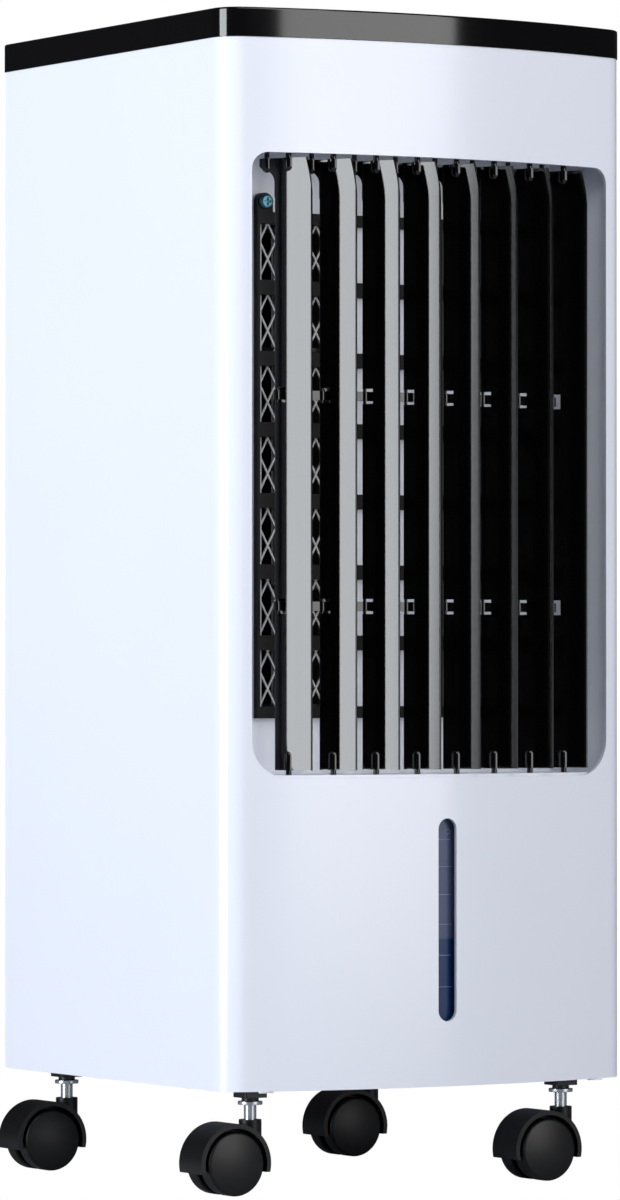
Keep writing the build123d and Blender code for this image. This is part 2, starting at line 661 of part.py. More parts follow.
with BuildPart() as fan_guard:
    with BuildSketch(guard_plane):
        with Locations((0, GUARD_MIDDLE_Z)):
            Rectangle(2 * GUARD_HALF, GUARD_TOP - GUARD_BOTTOM)
        for x, z in LUG_SPOTS:
            with Locations((x, z)):
                Circle(LUG_R)
            with Locations((x, (z + GUARD_MIDDLE_Z) / 2)):
                Rectangle(2 * LUG_R, abs(z - GUARD_MIDDLE_Z))
        for left, right in zip(edges_x[:-1], edges_x[1:]):
            with Locations(((left + right) / 2, GUARD_MIDDLE_Z)):
                with GridLocations(0, ROW_PITCH, 1, GUARD_ROWS):
                    Rectangle(right - left - BAR, ROW_WINDOW, mode=Mode.SUBTRACT)
        with Locations(*LUG_SPOTS):
            Circle(SCREW_R + 0.2, mode=Mode.SUBTRACT)
    extrude(amount=GUARD_THICK)
finish(fan_guard.part, "fan_guard")

MESH_LEFT = VENT_LEFT + 0.2
MESH_RIGHT = VENT_RIGHT - 0.2
MESH_WIDTH = MESH_RIGHT - MESH_LEFT
MESH_HEIGHT = GUARD_TOP - GUARD_BOTTOM - 8.4
MESH_THICK = 1.0
MESH_RIM = 0.8
MESH_NODE = (-57.0, 366.0)  # a crossing of the lattice near its middle
DIAMOND = (9.6, 18.3)
MESH_WEB = 0.5
mesh_plane = Plane(origin=(0, PANEL_Y + 1.4, 0), x_dir=(1, 0, 0), z_dir=(0, -1, 0))
mesh_middle = ((MESH_LEFT + MESH_RIGHT) / 2, GUARD_MIDDLE_Z)
with BuildPart() as guard_mesh:
    with BuildSketch(mesh_plane):
        with Locations(mesh_middle):
            Rectangle(MESH_WIDTH, MESH_HEIGHT)
        half_w = DIAMOND[0] / 2 - MESH_WEB
        half_h = half_w * DIAMOND[1] / DIAMOND[0]
        with Locations(MESH_NODE):
            for columns, rows in ((8, 17), (9, 16)):
                with GridLocations(*DIAMOND, columns, rows):
                    Polygon((-half_w, 0), (0, -half_h), (half_w, 0), (0, half_h), mode=Mode.SUBTRACT)
    extrude(amount=MESH_THICK)
    with BuildSketch(mesh_plane):
        with Locations(mesh_middle):
            Rectangle(MESH_WIDTH, MESH_HEIGHT)
            Rectangle(MESH_WIDTH - 2 * MESH_RIM, MESH_HEIGHT - 2 * MESH_RIM, mode=Mode.SUBTRACT)
    extrude(amount=MESH_THICK)
finish(guard_mesh.part, "guard_mesh")

with BuildPart() as guard_screws:
    with BuildSketch(guard_plane.offset(GUARD_THICK)):
        with Locations(*LUG_SPOTS):
            Circle(SCREW_HEAD_R)
    extrude(amount=2.4)
    fillet(guard_screws.faces().sort_by(Axis.Y)[: len(LUG_SPOTS)].edges(), 1.4)
    with BuildSketch(guard_plane.offset(GUARD_THICK)):
        with Locations(*LUG_SPOTS):
            Circle(SCREW_R)
    extrude(amount=-GUARD_THICK - FIT_GAP - PANEL_THICK)
    with BuildSketch(guard_plane.offset(GUARD_THICK + 2.4)):
        with Locations(*LUG_SPOTS):
            Rectangle(4.2, 0.9)
            Rectangle(0.9, 4.2)
    extrude(amount=-1.2, mode=Mode.SUBTRACT)
finish(guard_screws.part, "guard_screws")

# ---- blower: vertical drum in a scroll housing --------------------------------------------------
DRUM_X = -38.0
DRUM_Y = -14.0
DRUM_R = 46.0
DRUM_BOTTOM = 246.0
DRUM_TOP = 493.0
BLOWER_BOTTOM = 239.0
BLOWER_TOP = 497.0
BLOWER_WALL = 2.0
BLOWER_FRONT = PANEL_Y + PANEL_THICK + FIT_GAP
DRUM_SHAFT_R = 4.0

with BuildPart() as blower_housing:
    with BuildSketch(Plane.XY.offset(BLOWER_BOTTOM)):
        with BuildLine():
            Spline((-88, BLOWER_FRONT + 0.8), (-91.5, -34), (-86, 2), (-62, 31.5), (-28, 38))
        trace(line_width=BLOWER_WALL)
        with BuildLine():
            Polyline((VENT_RIGHT + 2.5, BLOWER_FRONT + 0.8), (-25, -66), (0, -61))
        trace(line_width=BLOWER_WALL)
    extrude(amount=BLOWER_TOP - BLOWER_BOTTOM)
    for z in (BLOWER_BOTTOM, BLOWER_TOP - BLOWER_WALL):
        box_between((-96, BLOWER_FRONT, z), (96, 66, z + BLOWER_WALL))
    with BuildSketch(Plane.XY.offset(BLOWER_BOTTOM)):
        with Locations((DRUM_X, DRUM_Y)):
            Circle(DRUM_SHAFT_R + 1)
    extrude(amount=BLOWER_WALL, mode=Mode.SUBTRACT)
    with BuildSketch(Plane.XY.offset(BLOWER_TOP - BLOWER_WALL)):
        with Locations((DRUM_X, DRUM_Y)):
            Circle(9.05)
    extrude(amount=BLOWER_WALL, mode=Mode.SUBTRACT)
finish(blower_housing.part, "blower_housing")

BLADES = 32
DRUM_DISCS = 5
with BuildPart() as fan_drum:
    disc_pitch = (DRUM_TOP - DRUM_BOTTOM - 2) / (DRUM_DISCS - 1)
    for level in range(DRUM_DISCS):
        with BuildSketch(Plane.XY.offset(DRUM_BOTTOM + level * disc_pitch)):
            with Locations((DRUM_X, DRUM_Y)):
                Circle(DRUM_R)
                solid_disc = level in (0, DRUM_DISCS - 1)
                Circle(DRUM_SHAFT_R + 0.02 if solid_disc else DRUM_R - 9, mode=Mode.SUBTRACT)
        extrude(amount=2)
    with BuildSketch(Plane.XY.offset(DRUM_BOTTOM)):
        with Locations((DRUM_X, DRUM_Y)):
            with PolarLocations(DRUM_R - 5, BLADES):
                Rectangle(7.6, 1.1, rotation=35)
    extrude(amount=DRUM_TOP - DRUM_BOTTOM)
finish(fan_drum.part, "fan_drum")

SHAFT_BOTTOM = 226.0
SHAFT_TOP = 500.0
with BuildPart() as drum_shaft:
    with BuildSketch(Plane.XY.offset(SHAFT_BOTTOM)):
        with Locations((DRUM_X, DRUM_Y)):
            Circle(DRUM_SHAFT_R)
    extrude(amount=SHAFT_TOP - SHAFT_BOTTOM)
finish(drum_shaft.part, "drum_shaft")

with BuildPart() as drum_bearing:
    with BuildSketch(Plane.XY.offset(BLOWER_TOP - BLOWER_WALL)):
        with Locations((DRUM_X, DRUM_Y)):
            Circle(9)
    extrude(amount=BLOWER_WALL)
    with BuildSketch(Plane.XY.offset(BLOWER_TOP)):
        with Locations((DRUM_X, DRUM_Y)):
            Circle(11)
    extrude(amount=6)
    with BuildSketch(Plane.XY.offset(BLOWER_TOP - BLOWER_WALL)):
        with Locations((DRUM_X, DRUM_Y)):
            Circle(DRUM_SHAFT_R + 0.06)
    extrude(amount=SHAFT_TOP - BLOWER_TOP + BLOWER_WALL + 1, mode=Mode.SUBTRACT)
finish(drum_bearing.part, "drum_bearing")

MOTOR_BOTTOM = 199.0
with BuildPart() as fan_motor:
    with BuildSketch(Plane.XY.offset(MOTOR_BOTTOM)):
        with Locations((DRUM_X, DRUM_Y)):
            Circle(36)
    extrude(amount=30)
    fillet(fan_motor.edges().filter_by(GeomType.CIRCLE), 5)
    with BuildSketch(Plane.XY.offset(MOTOR_BOTTOM + 12)):
        with Locations((DRUM_X, DRUM_Y)):
            Rectangle(84, 12)
            Rectangle(12, 84)
    extrude(amount=2.5)
    with BuildSketch(Plane.XY.offset(MOTOR_BOTTOM + 14.5)):
        with Locations((DRUM_X, DRUM_Y)):
            with PolarLocations(39.5, 4):
                Rectangle(5, 10)
    extrude(amount=BLOWER_BOTTOM - MOTOR_BOTTOM - 14.5)
    with BuildSketch(Plane.XY.offset(MOTOR_BOTTOM + 30)):
        with Locations((DRUM_X, DRUM_Y)):
            Circle(DRUM_SHAFT_R + 0.06)
    extrude(amount=-6, mode=Mode.SUBTRACT)
finish(fan_motor.part, "fan_motor")

# ---- rear frame, cord entry, screws, latch ------------------------------------------------------
REAR_SKIN = 2.6
FRAME_HALF = INNER_HALF - FIT_GAP - 0.5
TANK_HALF = 100.0
TANK_TOP = 192.0
TANK_FACE_HALF = 101.5
COVER_HALF = 99.0
COVER_BOTTOM = 222.0
COVER_TOP = 548.0
SCREW_SPOTS = [(sx * 104.6, z) for sx in (-1, 1) for z in (66.0, 207.0, 572.0)]
LATCH_SPOT = (0.0, 202.5)
GLAND_SPOT = (72.0, 206.0)
CORD_HOLE_R = 3.3
back_plane = Plane(origin=(0, BACK_Y, 0), x_dir=(-1, 0, 0), z_dir=(0, 1, 0))


def on_back(x, z):
    """A place on the back plane, whose own X runs to the object's left."""
    return Location((-x, z))


with BuildPart() as rear_frame:
    box_between(
        (-FRAME_HALF, BACK_Y - WALL - 3.1, BODY_BOTTOM + BASE_THICK + FIT_GAP),
        (FRAME_HALF, BACK_Y - WALL - 0.1, BODY_TOP - 1),
    )
    box_between(
        (-BACK_PANEL_HALF, BACK_Y - WALL - 0.1, BODY_BOTTOM + BASE_THICK + FIT_GAP),
        (BACK_PANEL_HALF, BACK_Y, BODY_TOP - 1),
    )
    with BuildSketch(back_plane):
        with Locations(on_back(0, (TANK_BOTTOM + TANK_TOP) / 2)):
            Rectangle(2 * TANK_FACE_HALF + 1, TANK_TOP - TANK_BOTTOM + 1)
        with Locations(on_back(0, (COVER_BOTTOM + COVER_TOP) / 2)):
            Rectangle(2 * COVER_HALF + 1, COVER_TOP - COVER_BOTTOM + 1)
        with Locations(on_back(*LATCH_SPOT)):
            Circle(3.1)
        with Locations(on_back(*GLAND_SPOT)):
            SlotOverall(16.1, 10.1)
        with Locations(*[on_back(*spot) for spot in SCREW_SPOTS]):
            Circle(1.7)
    extrude(amount=-4 * WALL, mode=Mode.SUBTRACT)
finish(rear_frame.part, "rear_frame")

with BuildPart() as housing_screws:
    with BuildSketch(back_plane):
        with Locations(*[on_back(*spot) for spot in SCREW_SPOTS]):
            Circle(3.0)
    extrude(amount=1.6)
    fillet(housing_screws.faces().sort_by(Axis.Y)[-6:].edges(), 0.9)
    with BuildSketch(back_plane):
        with Locations(*[on_back(*spot) for spot in SCREW_SPOTS]):
            Circle(1.5)
    extrude(amount=-8)
    with BuildSketch(back_plane.offset(1.6)):
        with Locations(*[on_back(*spot) for spot in SCREW_SPOTS]):
            Rectangle(3.2, 0.7)
            Rectangle(0.7, 3.2)
    extrude(amount=-0.8, mode=Mode.SUBTRACT)
finish(housing_screws.part, "housing_screws")

with BuildPart() as cord_gland:
    with BuildSketch(back_plane):
        with Locations(on_back(*GLAND_SPOT)):
            SlotOverall(16, 10)
    extrude(amount=-WALL - 3.1)
    with BuildSketch(back_plane):
        with Locations(on_back(*GLAND_SPOT)):
            SlotOverall(20, 14)
    extrude(amount=2)
    with BuildSketch(back_plane.offset(2)):
        with Locations(on_back(*GLAND_SPOT)):
            Circle(CORD_HOLE_R)
    extrude(amount=-12, mode=Mode.SUBTRACT)
finish(cord_gland.part, "cord_gland")

with BuildPart() as tank_latch:
    with BuildSketch(back_plane.offset(0.3)):
        with Locations(on_back(*LATCH_SPOT)):
            SlotOverall(32, 12)
    extrude(amount=4.5)
    fillet(tank_latch.faces().sort_by(Axis.Y)[-1].edges(), 1.2)
    with BuildSketch(back_plane.offset(0.3)):
        with Locations(on_back(*LATCH_SPOT)):
            Circle(3.0)
    extrude(amount=-9)
    with BuildSketch(back_plane.offset(-6.4)):
        with Locations(on_back(*LATCH_SPOT)):
            Circle(4.4)
    extrude(amount=-2.3)
finish(tank_latch.part, "tank_latch")

# ---- filter cover with its mesh and pad: one cassette that pulls out of the back ----------------
CASSETTE_WALL = 2.0
CASSETTE_HALF = COVER_HALF - 1.5
CASSETTE_FRONT = BACK_Y - 32.0
SLOT_ROWS = 23
SLOT_COLUMNS = 2
with BuildPart() as filter_cover:
    box_between((-COVER_HALF, BACK_Y - REAR_SKIN, COVER_BOTTOM), (COVER_HALF, BACK_Y, COVER_TOP))
    box_between(
        (-CASSETTE_HALF, CASSETTE_FRONT, COVER_BOTTOM + 1.5),
        (CASSETTE_HALF, BACK_Y - REAR_SKIN, COVER_TOP - 1.5),
    )
    box_between(
        (-CASSETTE_HALF + CASSETTE_WALL, CASSETTE_FRONT - 1, COVER_BOTTOM + 1.5 + CASSETTE_WALL),
        (CASSETTE_HALF - CASSETTE_WALL, BACK_Y - REAR_SKIN, COVER_TOP - 1.5 - CASSETTE_WALL),
        mode=Mode.SUBTRACT,
    )
    with BuildSketch(back_plane):
        with Locations((0, (COVER_BOTTOM + COVER_TOP) / 2 - 6)):
            with GridLocations(88, 12.5, SLOT_COLUMNS, SLOT_ROWS):
                SlotOverall(82, 7)
    extrude(amount=-REAR_SKIN, mode=Mode.SUBTRACT)
    with BuildSketch(back_plane):
        with Locations((0, COVER_TOP - 14)):
            SlotOverall(46, 12)
    extrude(amount=-REAR_SKIN, mode=Mode.SUBTRACT)
finish(filter_cover.part, "filter_cover")

PAD_HALF = CASSETTE_HALF - CASSETTE_WALL - 0.2
PAD_LOW = COVER_BOTTOM + 1.5 + CASSETTE_WALL + 0.2
PAD_HIGH = COVER_TOP - 1.5 - CASSETTE_WALL - 22
with BuildPart() as filter_mesh:
    box_between(
        (-PAD_HALF, BACK_Y - REAR_SKIN - 1.2, PAD_LOW), (PAD_HALF, BACK_Y - REAR_SKIN - 0.2, PAD_HIGH)
    )
finish(filter_mesh.part, "filter_mesh")

with BuildPart() as cooling_pad:
    box_between((-PAD_HALF, CASSETTE_FRONT + 1, PAD_LOW), (PAD_HALF, BACK_Y - REAR_SKIN - 3, PAD_HIGH))
finish(cooling_pad.part, "cooling_pad")

# ---- water side: tank drawer, ice packs, pump, riser hose, distributor tray ---------------------
TANK_WALL = 2.2
TANK_FRONT_GAP = 2.4
GRIP = (92.0, 34.0, 18.0)
GRIP_Z = 152.0


def tank_plan(inset):
    """Plan of the tank: bowed front edge behind the housing, straight sides and back."""
    half = TANK_HALF - inset
    depth = WALL + TANK_FRONT_GAP + inset
    back = BACK_Y - REAR_SKIN - inset
    with BuildSketch() as plan:
        with BuildLine():
            side_y = front_y(half, depth)
            front = ThreePointArc((-half, side_y), (0, CROWN_Y + depth), (half, side_y))
            Polyline(front @ 1, (half, back), (-half, back), front @ 0)
        make_face()
        fillet(plan.vertices().sort_by(Axis.Y)[:2], 6)
    return plan.sketch


with BuildPart() as tank:
    with BuildSketch(Plane.XY.offset(TANK_BOTTOM)):
        add(tank_plan(0))
    extrude(amount=TANK_TOP - TANK_BOTTOM)
    with BuildSketch(Plane.XY.offset(TANK_BOTTOM + TANK_WALL)):
        add(tank_plan(TANK_WALL))
    extrude(amount=TANK_TOP - TANK_BOTTOM, mode=Mode.SUBTRACT)
    box_between(
        (-TANK_FACE_HALF, BACK_Y - REAR_SKIN, TANK_BOTTOM), (TANK_FACE_HALF, BACK_Y, TANK_TOP)
    )
    box_between(
        (-GRIP[0] / 2 - TANK_WALL, BACK_Y - GRIP[2] - TANK_WALL, GRIP_Z - GRIP[1] / 2 - TANK_WALL),
        (GRIP[0] / 2 + TANK_WALL, BACK_Y - REAR_SKIN, GRIP_Z + GRIP[1] / 2 + TANK_WALL),
    )
    box_between(
        (-GRIP[0] / 2, BACK_Y - GRIP[2], GRIP_Z - GRIP[1] / 2),
        (GRIP[0] / 2, BACK_Y + 1, GRIP_Z + GRIP[1] / 2),
        mode=Mode.SUBTRACT,
    )
finish(tank.part, "tank")

PACK = (150.0, 22.0, 52.0)
PACK_FRONT_Y = CROWN_Y + 22.0
with BuildPart() as ice_packs:
    for row in range(2):
        pack_y = PACK_FRONT_Y + row * (PACK[1] + 5)
        box_between(
            (-PACK[0] / 2, pack_y, TANK_BOTTOM + TANK_WALL + 0.3),
            (PACK[0] / 2, pack_y + PACK[1], TANK_BOTTOM + TANK_WALL + 0.3 + PACK[2]),
        )
    fillet(ice_packs.edges().filter_by(Axis.Z), 5)
finish(ice_packs.part, "ice_packs")

PUMP_SPOT = (-76.0, 84.0)
PUMP_R = 19.0
SPIGOT_R = 4.0
with BuildPart() as pump:
    with BuildSketch(Plane.XY.offset(TANK_BOTTOM + TANK_WALL + 0.3)):
        with Locations(PUMP_SPOT):
            Circle(PUMP_R)
    extrude(amount=36)
    fillet(pump.faces().sort_by(Axis.Z)[-1].edges(), 4)
    with BuildSketch(Plane.XY.offset(TANK_BOTTOM + 34)):
        with Locations(PUMP_SPOT):
            Circle(SPIGOT_R)
    extrude(amount=TANK_TOP - TANK_BOTTOM - 34)
    with BuildSketch(Plane.XY.offset(TANK_TOP)):
        with Locations(PUMP_SPOT):
            Circle(SPIGOT_R - 1.4)
    extrude(amount=-60, mode=Mode.SUBTRACT)
finish(pump.part, "pump")

TRAY_BOTTOM = 551.0
TRAY_TOP = 564.0
TRAY_HALF = 96.0
TRAY_FRONT = BACK_Y - 34.0
TRAY_BACK = BACK_Y - 8.0
TRAY_WALL = 2.0
RISER_R = 4.0
RISER_BORE_R = 2.8
with BuildPart() as riser_pipe:
    with BuildSketch(Plane.XY.offset(TANK_TOP + 1.5)):
        with Locations(PUMP_SPOT):
            Circle(RISER_R)
            Circle(RISER_BORE_R, mode=Mode.SUBTRACT)
    extrude(amount=TRAY_BOTTOM + 4 - TANK_TOP - 1.5)
finish(riser_pipe.part, "riser_pipe")

with BuildPart() as water_tray:
    box_between((-TRAY_HALF, TRAY_FRONT, TRAY_BOTTOM), (TRAY_HALF, TRAY_BACK, TRAY_TOP))
    box_between(
        (PUMP_SPOT[0] - 8, PUMP_SPOT[1] - 8, TRAY_BOTTOM), (PUMP_SPOT[0] + 8, TRAY_FRONT, TRAY_TOP)
    )
    box_between(
        (-TRAY_HALF + TRAY_WALL, TRAY_FRONT + TRAY_WALL, TRAY_BOTTOM + TRAY_WALL),
        (TRAY_HALF - TRAY_WALL, TRAY_BACK - TRAY_WALL, TRAY_TOP),
        mode=Mode.SUBTRACT,
    )
    box_between(
        (PUMP_SPOT[0] - 6, PUMP_SPOT[1] - 6, TRAY_BOTTOM + 4),
        (PUMP_SPOT[0] + 6, TRAY_FRONT + TRAY_WALL, TRAY_TOP),
        mode=Mode.SUBTRACT,
    )
    with BuildSketch(Plane.XY.offset(TRAY_BOTTOM)):
        with Locations(PUMP_SPOT):
            Circle(RISER_R + 0.1)
        with Locations((0, (TRAY_FRONT + TRAY_BACK) / 2)):
            with GridLocations(15.5, 0, 12, 1):
                Circle(1.6)
    extrude(amount=4, mode=Mode.SUBTRACT)
finish(water_tray.part, "water_tray")

# ---- middle deck: the tank bay's roof and side guides, with posts under the blower --------------
DECK_BOTTOM = TANK_TOP + 1.5
DECK_THICK = 2.5
DECK_BACK = BACK_Y - WALL - 3.1 - FIT_GAP
GUIDE_X = 103.5
POST_R = 4.0
with BuildPart() as mid_deck:
    with BuildSketch(Plane.XY.offset(DECK_BOTTOM)):
        add(footprint(WALL + FIT_GAP))
        with Locations((0, DECK_BACK + 15)):
            Rectangle(BODY_WIDTH, 30, mode=Mode.SUBTRACT)
        with Locations(PUMP_SPOT):
            Circle(RISER_R + 1.5, mode=Mode.SUBTRACT)
    extrude(amount=DECK_THICK)
    for side in (-1, 1):
        box_between(
            (min(side * GUIDE_X, side * (GUIDE_X + 2.5)), CORNER_Y + 16, BODY_BOTTOM + BASE_THICK + 0.1),
            (max(side * GUIDE_X, side * (GUIDE_X + 2.5)), DECK_BACK - 7, DECK_BOTTOM),
        )
    with BuildSketch(Plane.XY.offset(DECK_BOTTOM + DECK_THICK)):
        with Locations((0, -2)):
            with GridLocations(176, 116, 2, 2):
                Circle(POST_R)
    extrude(amount=BLOWER_BOTTOM - DECK_BOTTOM - DECK_THICK)
finish(mid_deck.part, "mid_deck")
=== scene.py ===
"""Looks of a slim evaporative air cooler: rounded mouldings, procedural finishes, camera and studio.

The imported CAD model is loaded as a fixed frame. Every visible moulding is dressed as a rounded copy of
its CAD node, small surface parts are modelled here, and each one rides on the body that carries it.
Lengths are in metres in the row frame; the constants ending in _MM are in millimetres.
"""

from __future__ import annotations

import json
import logging
import math
from dataclasses import dataclass, field
from enum import Enum
from typing import Iterable, Sequence

import bpy
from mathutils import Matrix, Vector

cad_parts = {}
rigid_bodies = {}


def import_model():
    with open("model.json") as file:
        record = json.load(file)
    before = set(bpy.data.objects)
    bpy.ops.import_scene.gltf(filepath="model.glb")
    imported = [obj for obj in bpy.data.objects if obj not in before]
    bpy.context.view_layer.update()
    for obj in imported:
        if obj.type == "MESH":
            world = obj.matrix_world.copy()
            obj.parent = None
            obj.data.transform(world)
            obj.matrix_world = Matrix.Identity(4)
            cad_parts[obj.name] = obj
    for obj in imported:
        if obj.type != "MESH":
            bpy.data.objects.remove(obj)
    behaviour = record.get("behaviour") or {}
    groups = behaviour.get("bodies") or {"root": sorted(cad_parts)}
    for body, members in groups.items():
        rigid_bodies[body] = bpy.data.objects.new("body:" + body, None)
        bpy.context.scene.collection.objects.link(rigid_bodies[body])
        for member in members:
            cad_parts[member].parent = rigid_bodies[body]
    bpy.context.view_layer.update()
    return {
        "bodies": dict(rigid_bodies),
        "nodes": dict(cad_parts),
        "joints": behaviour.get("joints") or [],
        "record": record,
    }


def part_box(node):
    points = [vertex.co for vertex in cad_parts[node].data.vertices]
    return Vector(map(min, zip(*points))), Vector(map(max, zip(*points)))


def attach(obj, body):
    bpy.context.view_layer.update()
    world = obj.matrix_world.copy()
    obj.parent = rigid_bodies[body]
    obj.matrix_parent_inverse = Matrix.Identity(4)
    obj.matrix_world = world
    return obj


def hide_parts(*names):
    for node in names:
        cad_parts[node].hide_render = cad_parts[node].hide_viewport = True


LOG = logging.getLogger("air_cooler")
MM = 0.001
# a colour mix's sockets, which come after its float and vector ones
MIX_FIRST = 6
MIX_SECOND = 7
MIX_RESULT = 2
# doubles closer than this are merged, and faces this flat are joined, before edges are rounded
MERGE_MM = 0.002
FLAT_DEGREES = 0.1
SHARP_DEGREES = 38.0
WHITE = (1.0, 1.0, 1.0, 1.0)


class Edge(Enum):
    """How far a moulding's edges are rounded, in millimetres."""

    NONE = 0.0
    CRISP = 0.2
    EASED = 0.45
    SOFT = 0.9
    ROUND = 1.4


# ---- small tools ----------------------------------------------------------------------------------
def srgb(code: str) -> tuple[float, float, float, float]:
    """Turn an sRGB hex code into a linear colour.

    Args:
        code: six hex digits, without a leading mark.

    Returns:
        Linear red, green, blue and an alpha of 1.
    """
    parts = [int(code[i : i + 2], 16) / 255 for i in (0, 2, 4)]
    linear = [c / 12.92 if c <= 0.04045 else ((c + 0.055) / 1.055) ** 2.4 for c in parts]
    return (*linear, 1.0)


def add_node(tree: bpy.types.NodeTree, kind: str, inputs: dict | None = None, **settings) -> bpy.types.Node:
    """Add one shader node with its settings, values and links.

    Args:
        tree: the node tree that takes the node.
        kind: the node's type name.
        inputs: socket name or index to a value, or to an output socket to link.
        settings: attributes set on the node itself.

    Returns:
        The new node.
    """
    node = tree.nodes.new(kind)
    for name, value in settings.items():
        setattr(node, name, value)
    for key, value in (inputs or {}).items():
        if isinstance(value, bpy.types.NodeSocket):
            tree.links.new(value, node.inputs[key])
        else:
            node.inputs[key].default_value = value
    return node


def blank_material(name: str) -> tuple[bpy.types.Material, bpy.types.NodeTree, bpy.types.NodeSocket]:
    """Start a material with an empty tree and the object's own coordinates.

    Args:
        name: the material's name.

    Returns:
        The material, its tree and the coordinates' socket.
    """
    material = bpy.data.materials.new(name)
    material.use_nodes = True
    tree = material.node_tree
    tree.nodes.clear()
    return material, tree, add_node(tree, "ShaderNodeTexCoord").outputs["Object"]


def per_metre(size_mm: float) -> float:
    """Texture scale that gives features of about this size on Object coordinates."""
    return 1.0 / (size_mm * MM)


def only(obj: bpy.types.Object) -> None:
    """Make this the only selected object, and the active one."""
    bpy.ops.object.select_all(action="DESELECT")
    obj.select_set(True)
    bpy.context.view_layer.objects.active = obj


def settle(obj: bpy.types.Object) -> bpy.types.Object:
    """Put an object's place, turn and scale into its mesh."""
    only(obj)
    bpy.ops.object.transform_apply(location=True, rotation=True, scale=True)
    return obj


def apply_modifier(obj: bpy.types.Object, kind: str, **settings) -> None:
    """Add a modifier with these settings and apply it."""
    only(obj)
    modifier = obj.modifiers.new(kind.lower(), kind)
    for name, value in settings.items():
        setattr(modifier, name, value)
    bpy.ops.object.modifier_apply(modifier=modifier.name)


def smooth(obj: bpy.types.Object, degrees: float = 35.0) -> None:
    """Shade smooth, with edges sharper than this kept hard."""
    only(obj)
    bpy.ops.object.shade_smooth_by_angle(angle=math.radians(degrees))


def paint(obj: bpy.types.Object, material: bpy.types.Material) -> None:
    """Give an object one material on its own slots, over whatever its mesh carries."""
    if not obj.material_slots:
        obj.data.materials.append(material)
    for place in obj.material_slots:
        place.link = "OBJECT"
        place.material = material


def rounded_copy(node: str, edge: Edge) -> bpy.types.Object:
    """Copy a CAD node's mesh, join its loose triangles and round its sharp edges.

    Args:
        node: the CAD node's name.
        edge: how far its edges are rounded.

    Returns:
        The new piece, which stands in for the node.
    """
    piece = bpy.data.objects.new(f"{node}_moulding", bpy.data.objects[node].data.copy())
    bpy.context.scene.collection.objects.link(piece)
    only(piece)
    bpy.ops.object.mode_set(mode="EDIT")
    bpy.ops.mesh.select_all(action="SELECT")
    bpy.ops.mesh.remove_doubles(threshold=MERGE_MM * MM)
    bpy.ops.mesh.dissolve_limited(angle_limit=math.radians(FLAT_DEGREES))
    bpy.ops.object.mode_set(mode="OBJECT")
    if edge is not Edge.NONE:
        apply_modifier(
            piece,
            "BEVEL",
            width=edge.value * MM,
            segments=3,
            limit_method="ANGLE",
            angle_limit=math.radians(SHARP_DEGREES),
            use_clamp_overlap=True,
        )
    smooth(piece)
    apply_modifier(piece, "WEIGHTED_NORMAL", keep_sharp=True, weight=60)
    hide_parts(node)
    return piece


# ---- finishes -------------------------------------------------------------------------------------
@dataclass(frozen=True)
class Moulded:
    """An injection-moulded plastic: even colour, slight gloss variation and the mould's fine skin."""

    name: str
    tint: str
    shade: str
    roughness: float
    spread: float = 0.04
    ior: float = 1.53
    skin_mm: float = 1.6
    skin_height: float = 0.02
    coat: float = 0.0

    def build(self) -> bpy.types.Material:
        """Build the material.

        Returns:
            The finished material.
        """
        material, tree, place = blank_material(self.name)
        drift = add_node(tree, "ShaderNodeTexNoise", {"Vector": place, "Scale": 9.0, "Detail": 2.0})
        skin = add_node(
            tree,
            "ShaderNodeTexNoise",
            {"Vector": place, "Scale": per_metre(self.skin_mm), "Detail": 3.0, "Roughness": 0.6},
        )
        colour = add_node(
            tree,
            "ShaderNodeMix",
            {"Factor": drift.outputs["Fac"], MIX_FIRST: srgb(self.tint), MIX_SECOND: srgb(self.shade)},
            data_type="RGBA",
        )
        gloss = add_node(
            tree,
            "ShaderNodeMapRange",
            {
                "Value": skin.outputs["Fac"],
                "To Min": max(self.roughness - self.spread, 0.02),
                "To Max": self.roughness + self.spread,
            },
        )
        bump = add_node(
            tree,
            "ShaderNodeBump",
            {"Height": skin.outputs["Fac"], "Strength": self.skin_height, "Distance": 0.1 * MM},
        )
        shader = add_node(
            tree,
            "ShaderNodeBsdfPrincipled",
            {
                "Base Color": colour.outputs[MIX_RESULT],
                "Roughness": gloss.outputs["Result"],
                "IOR": self.ior,
                "Normal": bump.outputs["Normal"],
                "Coat Weight": self.coat,
                "Coat Roughness": 0.05,
            },
        )
        add_node(tree, "ShaderNodeOutputMaterial", {"Surface": shader.outputs["BSDF"]})
        return material


